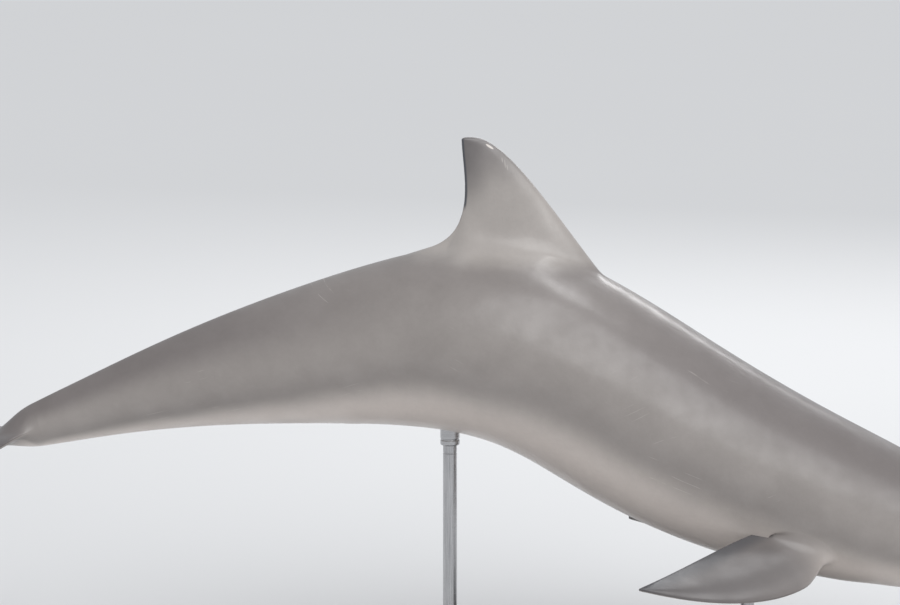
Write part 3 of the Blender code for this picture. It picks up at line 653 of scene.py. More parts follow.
def relief(points, place, level, mouth_gap):
    """How far the skin stands out of its plain shape, and the distance to the blowhole's slit."""
    side = points[..., 1]
    above_mouth = np.arange(place.shape[1]) <= ROWS_ABOVE

    # The closed mouth between its lips, which ends in a short curl, and the shorter upper beak.
    open_share = 1 - ease((place - MOUTH_END + 0.003) / 0.006)
    lips = 1 - ease((place - MOUTH_END + 0.006) / 0.008)
    shift = groove(mouth_gap, MOUTH_GROOVE, open_share, lips)
    setback = UPPER_BEAK_SETBACK * above_mouth * (1 - ease(place / 0.016))
    shift -= setback * (1 - bump(mouth_gap, 0.003))
    corner = np.hypot((place - MOUTH_END - 0.002) * LENGTH, mouth_gap)
    shift += groove(corner, CURL_GROOVE, 1, ease((place - MOUTH_END + 0.008) / 0.008))

    # The crease where the melon meets the beak, which fades down the sides.
    behind = place - MELON_CREASE + 0.0045 * np.clip(1 - level, 0, 1) ** 1.5
    down_to = np.clip(level + 0.35, 0, 1) ** 0.7, np.clip(level, 0, 1)
    shift += groove(behind, CREASE_GROOVE, *(above_mouth * share for share in down_to))

    # The blowhole: a crescent slit in a shallow dip, its horns pointing forwards.
    ahead = (BLOWHOLE_PLACE - place) * LENGTH - BLOWHOLE_RADIUS * 0.5
    bend = np.clip(np.arctan2(side, -ahead), 0, BLOWHOLE_SPAN)
    slit = np.hypot(-ahead - BLOWHOLE_RADIUS * np.cos(bend), side - BLOWHOLE_RADIUS * np.sin(bend))
    slit = np.where(level > 0.3, slit, 1.0)
    shift += groove(slit, BLOWHOLE_GROOVE)
    shift -= 0.0014 * bump(np.hypot(ahead - 0.002, side), 0.013) * (level > 0.3)

    # The navel, and the slits under the tail of a female.
    navel = np.hypot((place - NAVEL_PLACE) * LENGTH, side)
    vent = side + 1 - window(place, *VENT_SPAN)
    teat = abs(side - TEAT_SIDE) + 1 - window(place, *TEAT_SPAN)
    for gap, shape in ((navel, NAVEL_GROOVE), (vent, VENT_GROOVE), (teat, TEAT_GROOVE)):
        shift += groove(gap, shape) * (level < -0.6)

    # Slack folds under the throat, and the faint swell of muscle along the tail.
    throat = window(place, 0.125, 0.190, 0.03) * np.clip(-level, 0, 1)
    shift += 0.0007 * throat * np.sin(place * LENGTH / THROAT_WAVE + 2.2 * level)
    shift -= 0.0030 * window(place, 0.62, 0.88, 0.06) * bump(level - 0.05, 0.30)
    return shift, slit


# ---- what is let into the grid

def span(a, b):
    """The area that each pair of flat vectors spans."""
    return a[:, 0] * b[:, 1] - a[:, 1] * b[:, 0]


class Patch:
    """A window in the grid, seen along the normal at its middle, that a shape is let into."""

    def __init__(self, grid, normals, middle, forward, box):
        seen = grid[..., :3] - middle
        nearest = np.linalg.norm(seen, axis=2).argmin()
        self.grid, self.middle = grid, middle
        self.axis = unit(normals.reshape(-1, 3)[nearest])
        self.right = square_to(self.axis, forward)
        self.up = np.cross(self.axis, self.right)
        self.flat = np.stack([seen @ self.right, seen @ self.up], axis=-1)
        near = (np.abs(self.flat[..., 0]) < box[0]) & (np.abs(self.flat[..., 1]) < box[1])
        near &= seen @ self.axis > -0.06
        stations, rows = np.nonzero(near)
        self.k0, self.k1 = stations.min(), stations.max()
        self.m0, self.m1 = rows.min(), rows.max()
        ks, ms = np.arange(self.k0, self.k1), np.arange(self.m0, self.m1)
        sides = (ks, self.m0), (self.k1, ms), (ks[::-1] + 1, self.m1), (self.k0, ms[::-1] + 1)
        self.loop = np.concatenate([np.column_stack(np.broadcast_arrays(*side)) for side in sides])
        self.rim = self.flat[self.loop[:, 0], self.loop[:, 1]]

    def turn_of(self, half_length, half_height):
        """The angle of each rim point round the middle of an oval that is squeezed to a circle."""
        return np.arctan2(self.rim[:, 1] / half_height, self.rim[:, 0] / half_length)

    def locate(self, targets):
        """Grid coordinates, in fractions of a step, of the points seen at flat positions."""
        pad, nudge = 3, 0.05
        ks = slice(max(self.k0 - pad, 0), self.k1 + pad + 1)
        ms = slice(max(self.m0 - pad, 0), self.m1 + pad + 1)
        flat = self.flat[ks, ms]
        nearest = [((flat - target) ** 2).sum(axis=2).argmin() for target in targets]
        found = np.column_stack(np.unravel_index(nearest, flat.shape[:2])) + (ks.start, ms.start)

        def seen(at):
            return self.sample(self.flat, at)

        for _ in range(12):
            across, down = (
                (seen(found + way) - seen(found - way)) / (2 * nudge)
                for way in ((nudge, 0), (0, nudge))
            )
            miss = targets - seen(found)
            area = span(across, down)
            area = np.where(np.abs(area) < 1e-14, 1e-14, area)
            step = np.stack([span(miss, down), span(across, miss)], axis=1)
            found = found + np.clip(step / area[:, None], -1.5, 1.5)
        return found

    @staticmethod
    def sample(grid, at):
        """Values of a grid between its points."""
        k = np.clip(at[:, 0], 0, grid.shape[0] - 1.001)
        m = np.clip(at[:, 1], 0, grid.shape[1] - 1.001)
        i, j = k.astype(int), m.astype(int)
        u, v = (k - i)[:, None], (m - j)[:, None]
        return (
            grid[i, j] * (1 - u) * (1 - v)
            + grid[i + 1, j] * u * (1 - v)
            + grid[i, j + 1] * (1 - u) * v
            + grid[i + 1, j + 1] * u * v
        )


def moved(ring, points):
    """A ring's values at other points."""
    return np.column_stack([points, ring[:, 3:]])


def eye_rings(patch):
    """Rings from the window's rim over the lids and round behind the eyeball, and their end."""
    half_length, reach_up, reach_down = EYE_OPENING
    turn = patch.turn_of(half_length, reach_up)

    def reach_at(y):
        return reach_down + (reach_up - reach_down) * ease(0.5 + y / (2 * reach_up))

    height = np.sin(turn) * np.abs(np.sin(turn)) ** 0.25
    almond = np.stack([half_length * np.cos(turn), height], axis=1)
    almond[:, 1] *= reach_at(almond[:, 1] * reach_up)
    rings = []
    for share in 1 - (1 - np.linspace(0, 1, EYE_RINGS + 1)[1:]) ** 1.5:
        flat = patch.rim + (almond - patch.rim) * share
        ring = patch.sample(patch.grid, patch.locate(flat))
        base = (ring[:, :3] - patch.middle) @ patch.axis
        far = np.hypot(flat[:, 0] / half_length, flat[:, 1] / reach_at(flat[:, 1]))
        upper = ease(0.5 + flat[:, 1] / 0.016)
        lid = np.sqrt(np.clip((EYE_RADIUS + LID_THICKNESS) ** 2 - (flat**2).sum(axis=1), 0, None))
        height = soft_max(base, lid, LID_BLEND)
        for out, rise, width, above, below in LID_FOLDS:
            height += rise * bump(far - out, width) * (above * upper + below * (1 - upper))
        height = base + (height - base) * ease(share / LID_RUN_IN)
        across = flat @ np.stack([patch.right, patch.up])
        ring[:, :3] = patch.middle + across + height[:, None] * patch.axis
        ring[:, COLUMN["eye_gap"]] = np.linalg.norm(ring[:, :3] - EYE_MIDDLE, axis=1)
        rings.append(ring)
    lid = rings[-1]
    edge = lid[:, :3] - patch.middle
    outward = unit(edge)
    snug = EYE_RADIUS + EYE_SETTLING
    behind = [edge * 0.985 - patch.axis * LID_CURL, outward * (snug + LID_CURL)]
    start = np.arccos(np.clip(outward @ patch.axis, -1, 1))
    flank = unit(outward - np.outer(outward @ patch.axis, patch.axis))
    for share in np.linspace(0, 1, 12)[1:-1]:
        angle = (start + (math.pi - start) * share)[:, None]
        behind.append((np.cos(angle) * patch.axis + np.sin(angle) * flank) * snug)
    rings += [moved(lid, patch.middle + points) for points in behind]
    return rings, moved(lid[:1], (patch.middle - patch.axis * snug)[None])


def flipper_frame():
    """Shoulder point and the outward, chordwise and face directions of the left flipper."""
    angle = float(slope(FLIPPER_PLACE))
    forwards = np.array((math.cos(angle), 0, math.sin(angle)))
    up = np.array((-math.sin(angle), 0, math.cos(angle)))
    side, height = section(FLIPPER_PLACE, np.array([FLIPPER_ANGLE]))
    shoulder = on_body(FLIPPER_PLACE, side, height)[0]
    outwards = unit(forwards * FLIPPER_SWEEP + (0, FLIPPER_REACH, 0) + up * FLIPPER_DROOP)
    chordwise = square_to(outwards, forwards)
    return shoulder, outwards, chordwise, np.cross(outwards, chordwise)


def flipper_rings(patch, outwards, chordwise, face):
    """Rings from the window's rim over the shoulder and along the flipper, and its tip."""
    leading, trailing = bezier(FLIPPER_LEADING, 120), bezier(FLIPPER_TRAILING, 120)
    root_half = (leading[0, 1] - trailing[0, 1]) / 2
    turn = patch.turn_of(root_half, SHOULDER_HALF - 0.005)
    foot = np.column_stack([1.20 * root_half * np.cos(turn), SHOULDER_HALF * np.sin(turn)])
    steps = np.linspace(0, 1, SHOULDER_RINGS + 1)[1:]
    rings = [
        patch.sample(patch.grid, patch.locate(patch.rim + (foot - patch.rim) * step))
        for step in steps
    ]
    last = rings[-1]

    def wing_ring(run):
        front = np.interp(run, leading[:, 0], leading[:, 1])
        rear = np.interp(run, trailing[:, 0], trailing[:, 1])
        along = (1 - np.cos(turn)) / 2
        thick = FLIPPER_HALF_THICKNESS * (1 - 0.85 * run / FLIPPER_LENGTH)
        deep = thick * wing(along) + min(0.0012, (front - rear) / 6) * np.sqrt(np.abs(np.sin(turn)))
        x = front + (rear - front) * along
        y = np.sign(np.sin(turn)) * deep
        return patch.middle + np.outer(x, chordwise) + np.outer(y, face) + outwards * run

    def add_ring(points, run):
        share = run / FLIPPER_LENGTH
        ring = moved(last, points)
        ring[:, COLUMN["limb"]] = ease((run + 0.02) / 0.10) * 0.7 + 0.3 * share
        ring[:, COLUMN["rear_gap"]] = (1 + np.cos(turn)) / 2 * 0.13 * (1 - 0.9 * share)
        ring[:, COLUMN["under"]] = turn > 0
        rings.append(ring)

    # From the body to the flipper's own shape the rings follow a smooth curve.
    start, target = last[:, :3], wing_ring(SHOULDER_LENGTH)
    distance = np.linalg.norm(target - start, axis=1)[:, None]
    lead_in = unit(start - rings[-2][:, :3]) * distance
    lead_out = (wing_ring(SHOULDER_LENGTH + 0.01) - target) * distance / 0.01
    for t in steps:
        leave = (2 * t**3 - 3 * t**2 + 1) * start + (t**3 - 2 * t**2 + t) * lead_in * 1.1
        arrive = (3 * t**2 - 2 * t**3) * target + (t**3 - t**2) * lead_out * 1.1
        add_ring(leave + arrive, SHOULDER_LENGTH * t)
    for share in np.sin(np.linspace(0, math.pi / 2, FLIPPER_RINGS + 2))[1:-1]:
        run = SHOULDER_LENGTH + (FLIPPER_LENGTH - SHOULDER_LENGTH) * share
        add_ring(wing_ring(run), run)
    tip_chord = (leading[-1, 1] + trailing[-1, 1]) / 2
    tip = patch.middle + chordwise * tip_chord + outwards * FLIPPER_LENGTH
    return rings, moved(rings[-1].mean(axis=0)[None], tip[None])


# ---- the whole skin

def new_mesh(name, points, faces, values):
    """A smooth mesh, with values that its finish reads by name."""
    mesh = bpy.data.meshes.new(name)
    mesh.from_pydata(points.tolist(), [], [corners for part in faces for corners in part.tolist()])
    mesh.validate()
    mesh.shade_smooth()
    for label, value in values.items():
        layer = mesh.attributes.new(label, "FLOAT", "POINT")
        layer.data.foreach_set("value", value.astype(np.float32))
    return mesh


class Skin:
    """One side of the animal as points with their values, and faces, mirrored at the end."""

    def __init__(self, grid):
        stations, rows, width = grid.shape
        self.shape = stations, rows
        self.points = [grid.reshape(-1, width)]
        self.count = stations * rows
        self.kept = np.ones((stations - 1, rows - 1), bool)
        self.quads, self.triangles = [], []

    def index(self, k, m):
        return k * self.shape[1] + m

    def add(self, points):
        self.points.append(points)
        self.count += len(points)
        return np.arange(self.count - len(points), self.count)

    def let_in(self, patch, rings, end):
        """Opens the patch's window and fills it with rings that close at an end point."""
        self.kept[patch.k0 : patch.k1, patch.m0 : patch.m1] = False
        before = self.index(patch.loop[:, 0], patch.loop[:, 1])
        for ring in rings:
            here = self.add(ring)
            quads = before, here, np.roll(here, -1), np.roll(before, -1)
            self.quads.append(np.column_stack(quads))
            before = here
        last = np.full(len(before), self.add(end)[0])
        self.triangles.append(np.column_stack([np.roll(before, -1), before, last]))

    def build(self, name):
        stations, rows = self.shape
        k, m = np.nonzero(self.kept)
        corners = [self.index(k + i, m + j) for i, j in ((0, 0), (0, 1), (1, 1), (1, 0))]
        # Each end of the grid is drawn together into one point.
        merged = np.arange(self.count)
        merged[:rows] = 0
        merged[(stations - 1) * rows : stations * rows] = (stations - 1) * rows
        quads = merged[np.concatenate([np.stack(corners, axis=1), *self.quads])]
        head, foot = quads[:, 0] == quads[:, 1], quads[:, 2] == quads[:, 3]
        triangles = np.concatenate([quads[head][:, 1:], quads[foot][:, :3], *self.triangles])
        quads = quads[~head & ~foot]
        points = np.concatenate(self.points)
        on_middle = np.zeros(self.count, bool)
        on_middle[: stations * rows].reshape(stations, rows)[:, [0, -1]] = True
        points[on_middle, 1] = 0
        twin = np.where(on_middle, np.arange(self.count), np.arange(self.count) + self.count)
        faces = [quads, twin[quads][:, ::-1], triangles, twin[triangles][:, ::-1]]
        other = points.copy()
        other[:, 1] *= -1
        both = np.concatenate([points, other])
        used = np.zeros(len(both), bool)
        for part in faces:
            used[part] = True
        renumber = np.cumsum(used) - 1
        values = dict(zip(SKIN_VALUES, both[used, 3:].T))
        return new_mesh(name, both[used, :3], [renumber[part] for part in faces], values)


def grid_level(places, rows, outwards):
    """Where each point lies between the back, 1, and the belly, -1."""
    _, rise, reach, _ = from_widest(places[:, None], rows[..., 1])
    level = np.clip(rise / np.maximum(reach, 1e-4), -1, 1)
    far = np.where(np.arange(rows.shape[1]) < ROWS_ABOVE, 0.6, -0.6)
    return np.concatenate([level, level[-1] + (far - level[-1]) * outwards])


def grid_under(places, above_middle, outwards):
    """1 below the mouth line and the soft line that runs on behind it, 0 over it."""
    softness = 0.0003 + 0.035 * ease((places[:, None] - MOUTH_END + 0.02) / 0.06)
    body = ease(0.5 - above_middle / softness)
    # On the way to the flukes the soft line turns into their sharp edge.
    fluke = np.where(np.arange(body.shape[1]) < ROWS_ABOVE, 0.0, 1.0)
    return np.concatenate([body, body[-1] + (fluke - body[-1]) * outwards])


def make_grid():
    """Points with their values, and normals, of one side. Eye and flipper are still left out."""
    places, fin_start = place_stations()
    rows = body_rows(places)
    row_places = np.repeat(places[:, None], rows.shape[1], axis=1)
    points = on_body(row_places, rows[..., 0], rows[..., 1])
    fin_share, fin_gap = raise_fin(points, places, fin_start)
    flukes, fluke_gap = fluke_rows()
    back, sideways, up = np.moveaxis(flukes, 2, 0)
    fluke_places = STOCK_END + back / LENGTH
    points = np.concatenate([points, on_body(fluke_places, sideways, up)])
    for station, reach in ((fin_start, FIN_SOFTENING), (len(places), STOCK_SOFTENING)):
        soften(points, station, reach)

    outwards = ease(np.hypot(back / 0.12, sideways / 0.09))
    above_middle = rows[..., 1] - middle_height(row_places)
    place = np.concatenate([row_places, fluke_places])
    level = grid_level(places, rows, outwards)
    mouth_gap = np.concatenate([np.abs(above_middle), np.ones(back.shape)])
    fin_share = np.concatenate([fin_share, np.zeros(back.shape)])
    normals = grid_normals(points)
    shift, slit = relief(points, place, level, mouth_gap)
    shift[:, :FIN_ROWS] *= 1 - ease(fin_share[:, :FIN_ROWS] / 0.1)
    points = points + normals * shift[..., None]
    limb = ease(sideways / 0.12) * 0.6 + 0.4 * ease(back / 0.12)
    values = {
        "place": place,
        "level": level,
        "fin_share": fin_share,
        "rear_gap": np.concatenate([fin_gap, fluke_gap]),
        "limb": np.concatenate([np.zeros(rows.shape[:2]), limb]),
        "mouth_gap": np.where(place < 0.14, mouth_gap, 1.0),
        "slit_gap": slit,
        "eye_gap": np.minimum(np.linalg.norm(points - EYE_MIDDLE, axis=2), 1.0),
        "under": grid_under(places, above_middle, outwards),
    }
    return np.dstack([points, *(values[name] for name in SKIN_VALUES)]), normals


def make_skin():
    """The skin's mesh, and the way that the left eye looks."""
    grid, normals = make_grid()
    skin = Skin(grid)
    eye = Patch(grid, normals, EYE_MIDDLE, FORWARDS, EYE_WINDOW)
    skin.let_in(eye, *eye_rings(eye))
    shoulder, *ways = flipper_frame()
    flipper = Patch(grid, normals, shoulder, ways[1], FLIPPER_WINDOW)
    skin.let_in(flipper, *flipper_rings(flipper, *ways))
    return skin.build("dolphin_skin"), eye.axis


# ---- plain mesh building

def add_object(name, data):
    thing = bpy.data.objects.new(name, data)
    bpy.context.scene.collection.objects.link(thing)
    return thing


def add_piece(name, mesh, finish, slot, *replaced, sharp=None):
    """Puts a mesh in the scene, on the model. Edges sharper than an angle in degrees stay hard."""
    mesh.materials.append(finish)
    if sharp:
        mesh.set_sharp_from_angle(angle=math.radians(sharp))
    piece = add_object(name, mesh)
    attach(piece, "root")
    if replaced:
        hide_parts(*replaced)


def mesh_of_rings(name, rings, values=()):
    """A closed mesh from rings of equal length. Fans fill the first and the last."""
    rings = np.array(rings, float)
    count, size = rings.shape[:2]
    here = np.arange(count * size)
    beside = here - here % size + (here + 1) % size
    quads = np.stack([here, beside, beside + size, here + size], axis=1)[:-size]
    start = np.stack([beside, here, 0 * here + count * size], axis=1)[:size]
    end = np.stack([here, beside, 0 * here + count * size + 1], axis=1)[-size:]

    def filled(values):
        return np.concatenate([*values, values[[0, -1]].mean(axis=1)])

    values = {label: filled(value) for label, value in dict(values).items()}
    return new_mesh(name, filled(rings), (quads, start, end), values)


def level_ring(middle, radius, z, turn):
    """A level ring of points round an upright axis."""
    x, y = middle[0] + radius * np.cos(turn), middle[1] + radius * np.sin(turn)
    return np.column_stack([x, y, np.full(len(turn), z)])


def turned(name, profile, middle, segments):
    """A mesh turned round an upright axis, from (radius, height) points that run upwards."""
    turn = full_turn(segments)
    return mesh_of_rings(name, [level_ring(middle, radius, z, turn) for radius, z in profile])


def rounded(corners, radius, steps=6):
    """A (radius, height) profile with its inner corners rounded."""
    corners = [np.array(corner, float) for corner in corners]
    line = [corners[0]]
    for before, corner, after in zip(corners, corners[1:], corners[2:]):
        back, ahead = before - corner, after - corner
        legs = np.linalg.norm(back), np.linalg.norm(ahead)
        reach = min(radius, *(leg / 2 for leg in legs))
        start, end = corner + back / legs[0] * reach, corner + ahead / legs[1] * reach
        line.extend(bezier((start, corner, end), steps))
    return [*line, corners[-1]]


# ---- eyeballs

def make_eyeball(name, middle, axis):
    """A ball with a low cornea, and on it how far each point is from the axis, sideways and up."""
    right = square_to(axis, FORWARDS)
    up = np.cross(right, axis)
    up *= np.sign(up[2])
    turn = full_turn(EYE_SEGMENTS)
    flat = np.outer(np.cos(turn), right) + np.outer(np.sin(turn), up)
    rings, sideways, upwards = [], [], []
    for share in np.linspace(1, 0, EYEBALL_RINGS + 2)[1:-1]:
        angle = math.pi * share**1.5
        radius = EYE_RADIUS - EYE_SHRINK + CORNEA_RISE * (1 - ease(angle / CORNEA_ANGLE))
        rings.append(middle + math.cos(angle) * radius * axis + math.sin(angle) * radius * flat)
        sideways.append(math.sin(angle) * EYE_RADIUS * np.cos(turn))
        upwards.append(math.sin(angle) * EYE_RADIUS * np.sin(turn))
    # The left eye's rings are turned round, so that its faces look out.
    order = slice(None, None, -1 if axis[1] > 0 else 1)
    rings, sideways, upwards = (np.array(part)[:, order] for part in (rings, sideways, upwards))
    return mesh_of_rings(name, rings, {"sideways": sideways, "upwards": upwards})


# ---- the stand

def make_board(name, low, high):
    """The base board: round corners, a softened top edge and a fine groove along it."""
    middle, half = (low + high) / 2, (high - low) / 2
    quarter = np.linspace(0, math.pi / 2, 25)
    turn = np.concatenate([quarter + k * math.pi / 2 for k in range(4)])
    signs = np.repeat(((1, 1), (-1, 1), (-1, -1), (1, -1)), len(quarter), axis=0)
    corners = middle[:2] + signs * (half[:2] - BOARD_CORNER)
    edge = [(1 - math.cos(t), -1 + math.sin(t)) for t in np.linspace(0, math.pi / 2, 9)]
    profile = [(BOARD_FOOT, -high[2]), (0.0, BOARD_FOOT - high[2])]
    profile += [(BOARD_EDGE * inset, BOARD_EDGE * drop) for inset, drop in edge]
    profile += BOARD_GROOVE
    steps = [(BOARD_CORNER - inset, high[2] + drop) for inset, drop in profile]
    return mesh_of_rings(name, [level_ring(corners.T, radius, z, turn) for radius, z in steps])


def make_screws(name, centres, top):
    """Four button-head screws with hexagon sockets on each flange."""
    whole = bmesh.new()
    sector = math.pi / 3
    turn = full_turn(24)
    hexagon = 1 / np.cos((turn + sector / 2) % sector - sector / 2)
    profile = [*SCREW_HEAD, *((radius * hexagon, height) for radius, height in SCREW_SOCKET)]
    for centre in centres:
        for k in range(4):
            way = math.pi / 4 + k * math.pi / 2
            spot = centre + SCREW_CIRCLE * np.array((math.cos(way), math.sin(way)))
            rings = [level_ring(spot, radius, top + z, turn + 0.4 * k) for radius, z in profile]
            screw = mesh_of_rings("screw", rings)
            whole.from_mesh(screw)
            bpy.data.meshes.remove(screw)
    mesh = bpy.data.meshes.new(name)
    whole.to_mesh(mesh)
    whole.free()
    return mesh


# ---- finishes

def paint(red, green, blue):
    """A colour for a socket, from its values on a screen."""
    shares = (value / 255 for value in (red, green, blue))
    return (*(s / 12.92 if s <= 0.04045 else ((s + 0.055) / 1.055) ** 2.4 for s in shares), 1.0)


def operator(operation, swapped=False):
    """A Math node as an arithmetic operator."""

    def apply(self, other):
        values = (other, self) if swapped else (self, other)
        return self.tree.math(operation, *values)

    return apply


class Amount:
    """A value that varies over a surface. Arithmetic on it adds Math nodes."""

    def __init__(self, tree, socket):
        self.tree, self.socket = tree, socket

    def math(self, operation, *others):
        return self.tree.math(operation, self, *others)

    __add__ = __radd__ = operator("ADD")
    __sub__, __rsub__ = operator("SUBTRACT"), operator("SUBTRACT", swapped=True)
    __mul__ = __rmul__ = operator("MULTIPLY")
    __truediv__, __pow__ = operator("DIVIDE"), operator("POWER")

    def rise(self, low, high):
        """0 up to low and 1 from high on, with a soft rise between."""
        settings = {"interpolation_type": "SMOOTHSTEP"}
        return self.tree.add("ShaderNodeMapRange", settings, {0: self, 1: low, 2: high})

    def fall(self, low, high):
        """1 up to low and 0 from high on."""
        return 1 - self.rise(low, high)

    def bell(self, centre, width):
        """1 at the centre, falling off to both sides."""
        return (((self - centre) / width) ** 2 * -1).math("EXPONENT")

    def or_more(self, other):
        return self.math("MAXIMUM", other)


class Tree:
    """The shader nodes of a material or of the world, as they are put together."""

    def __init__(self, owner):
        owner.use_nodes = True
        self.tree = owner.node_tree
        self.tree.nodes.clear()

    def add(self, kind, settings=None, inputs=None, out=0):
        """A node of a kind, with its settings made first and then its sockets' values or links."""
        node = self.tree.nodes.new(kind)
        for name, value in (settings or {}).items():
            setattr(node, name, value)
        for name, value in (inputs or {}).items():
            if isinstance(value, Amount):
                self.tree.links.new(value.socket, node.inputs[name])
            else:
                node.inputs[name].default_value = value
        return None if out is None else Amount(self, node.outputs[out])

    def math(self, operation, *values):
        return self.add("ShaderNodeMath", {"operation": operation}, dict(enumerate(values)))


class Finish(Tree):
    """A material's tree, and the colour that its tones are laid on."""

    def __init__(self, name):
        self.material = bpy.data.materials.new(name)
        super().__init__(self.material)
        self.where = self.add("ShaderNodeTexCoord", out="Object")
        self.colour = None

    def named(self, name):
        return self.add("ShaderNodeAttribute", {"attribute_name": name}, out="Fac")

    def mix(self, share, first, second):
        colours = {0: share, 6: first, 7: second}
        return self.add("ShaderNodeMix", {"data_type": "RGBA"}, colours, out=2)

    def lay(self, share, tone):
        """Lays a tone over the colour so far."""
        self.colour = self.mix(share, self.colour, tone)

    def vector(self, operation, inputs):
        return self.add("ShaderNodeVectorMath", {"operation": operation}, inputs)

    def tinted(self, colour, by):
        """A colour made lighter or darker by a factor."""
        return self.vector("SCALE", {0: colour, "Scale": by})

    def stretched(self, x, y, z):
        return self.vector("MULTIPLY", {0: self.where, 1: (x, y, z)})

    def noise(self, scale, detail, where=None):
        """Soft noise round 0, about -0.5 to 0.5."""
        inputs = {"Vector": where or self.where, "Scale": scale, "Detail": detail}
        return self.add("ShaderNodeTexNoise", None, inputs) - 0.5

    def axis(self, name):
        return self.add("ShaderNodeSeparateXYZ", None, {0: self.where}, out=name)

    def surface(self, **inputs):
        """The shader. Its constants are set on its own sockets."""
        named = {name.replace("_", " "): value for name, value in inputs.items()}
        if "Height" in named:
            height = {name: named.pop(name) for name in ("Height", "Distance")}
            named["Normal"] = self.add("ShaderNodeBump", None, height)
        shader = self.add("ShaderNodeBsdfPrincipled", None, named)
        self.add("ShaderNodeOutputMaterial", None, {"Surface": shader}, out=None)
        return self.material


MOTTLING = ((3.2, 3.0), (13.0, 4.0), (34.0, 3.0), (110.0, 3.0))  # scale and detail, coarse first
BACK_GREY = paint(117, 111, 109)
FLANK_GREY = paint(145, 139, 135)
BELLY_PALE = paint(216, 206, 199)
FIN_GREY = paint(122, 118, 117)
FIN_FOOT_GREY = paint(178, 172, 167)
LIMB_GREY = paint(90, 86, 86)
# Dark rear margins of flippers and flukes, also the painted shade along the fin's rear edge.
EDGE_DARK = paint(62, 66, 73)
# Painted shade for the mouth line and the blowhole's slit.
SLIT_SHADE = paint(46, 38, 36)
SCAR_PALE = paint(222, 215, 208)


def skin_finish():
    """Wet skin, laid on tone by tone, with soft mottling, old scratches and scuffs."""
    f = Finish("dolphin_skin")
    for name in SKIN_VALUES:
        setattr(f, name, f.named(name))
    f.x, f.y, f.z = (f.axis(name) for name in "XYZ")
    f.clouds, f.patches, f.blotches, f.grain = (f.noise(*size) for size in MOTTLING)
    lay_body_tones(f)
    lay_head_tones(f)
    lay_fin_tones(f)
    lay_limb_and_slit_tones(f)
    marks, scuff = lay_scars(f)
    light = 1 + f.clouds * 0.16 + f.patches * 0.20 + f.blotches * 0.09 + f.grain * 0.07
    wet = (f.patches + f.blotches * 0.5).rise(-0.30, 0.35)
    bumps = f.grain * 0.22 + f.noise(420.0, 2.0) * 0.08 + f.blotches * 0.45 + f.patches * 1.3
    return f.surface(
        Base_Color=f.tinted(f.colour, light),
        Roughness=0.46 - wet * 0.10 + f.grain * 0.08 + scuff * 0.25,
        Coat_Weight=0.20 + wet * 0.38,
        Coat_Roughness=0.20,
        Specular_IOR_Level=0.42,
        Height=bumps - marks * 0.20,
        Distance=0.0010,
    )


def lay_body_tones(f):
    """Three tones from the back down. The dark cape is weaker round the fin."""
    wandering = f.level + f.clouds * 0.26 + f.patches * 0.10
    lower = wandering + f.place.rise(0.62, 0.90) * 0.30
    cape = wandering.rise(0.16, 0.74) * (1 - f.place.bell(0.580, 0.140) * 0.72)
    f.colour = f.mix(cape, FLANK_GREY, BACK_GREY)
    f.lay(lower.fall(-0.74, -0.24), BELLY_PALE)
    f.lay(lower.bell(-0.20, 0.16) * f.place.fall(0.80, 0.92) * 0.20, BACK_GREY)


def lay_head_tones(f):
    """A pale jaw and lip, a stripe from the beak to the eye, a dark ring round the eye."""
    over = 1 - f.under
    f.lay(f.place.fall(0.100, 0.160) * f.under * 0.85, BELLY_PALE)
    f.lay(f.mouth_gap.bell(0.0040, 0.0026) * f.place.fall(0.100, 0.120) * over * 0.45, BELLY_PALE)
    stripe = f.place.rise(0.036, 0.060) * f.place.fall(0.126, 0.142)
    f.lay(stripe * (f.level - f.clouds * 0.1).bell(0.04, 0.11) * over * 0.50, LIMB_GREY)
    f.lay((f.eye_gap + f.patches * 0.006).fall(0.0190, 0.0360) * 0.70, LIMB_GREY)
    f.lay(f.place.fall(0.150, 0.200) * f.level.rise(0.30, 0.80) * 0.40, LIMB_GREY)
    f.lay(f.place.fall(0.003, 0.030) * over * 0.40, FIN_FOOT_GREY)


def lay_fin_tones(f):
    """A fin that darkens to its tip and rear edge, over a pale foot that ends in a soft line, with
    painted shade in a thin band along the rear edge.
    """
    # Lighter over the fin's foot down to a soft line, and a little darker in a band just below that
    # line.
    over = f.z - PALE_LINE[1] + (f.x - PALE_LINE[0]) * PALE_LINE[2] + f.patches * 0.012
    around = f.place.rise(0.43, 0.50) * f.place.fall(0.62, 0.72)
    foot = (over + f.clouds * 0.02).rise(-0.014, 0.020) * f.fin_share.fall(0.40, 0.95)
    f.lay(foot * around * 0.72, FIN_FOOT_GREY)
    f.lay(over.bell(-0.024, 0.022) * around * 0.22, BACK_GREY)
    f.lay((f.fin_share + f.patches * 0.16 - f.rear_gap * 0.9).rise(0.35, 1.0) * 0.90, FIN_GREY)
    dusk = f.fin_share.rise(0.20, 0.70) * (f.rear_gap + f.patches * 0.03).fall(0.002, 0.060)
    f.lay(dusk * 0.62, LIMB_GREY)
    # Painted shade: a thin dark band just inside the fin's rear edge, where its surface turns away.
    rear_edge_shade = (f.rear_gap + f.patches * 0.003).fall(0.0030, 0.0062)
    f.lay(rear_edge_shade * (f.fin_share + f.blotches * 0.06).rise(0.29, 0.36) * 0.90, EDGE_DARK)


def lay_limb_and_slit_tones(f):
    """Paler undersides and dark rear margins on flippers and flukes, painted shade in mouth and
    blowhole.
    """
    f.lay(f.limb * (1 - f.under * 0.60), LIMB_GREY)
    margin = (f.rear_gap + f.patches * 0.01).fall(0.003, 0.024)
    f.lay(f.limb.rise(0.3, 0.7) * margin * 0.60, EDGE_DARK)
    # Painted shade: the mouth line and the blowhole's slit are darkened where shade falls in them.
    mouth = f.mouth_gap.fall(0.0005, 0.0017) * f.place.fall(0.118, 0.124)
    f.lay(mouth.or_more(f.slit_gap.fall(0.0006, 0.0020)) * 0.90, SLIT_SHADE)
    f.lay(f.slit_gap.bell(0.0, 0.012) * 0.35, LIMB_GREY)


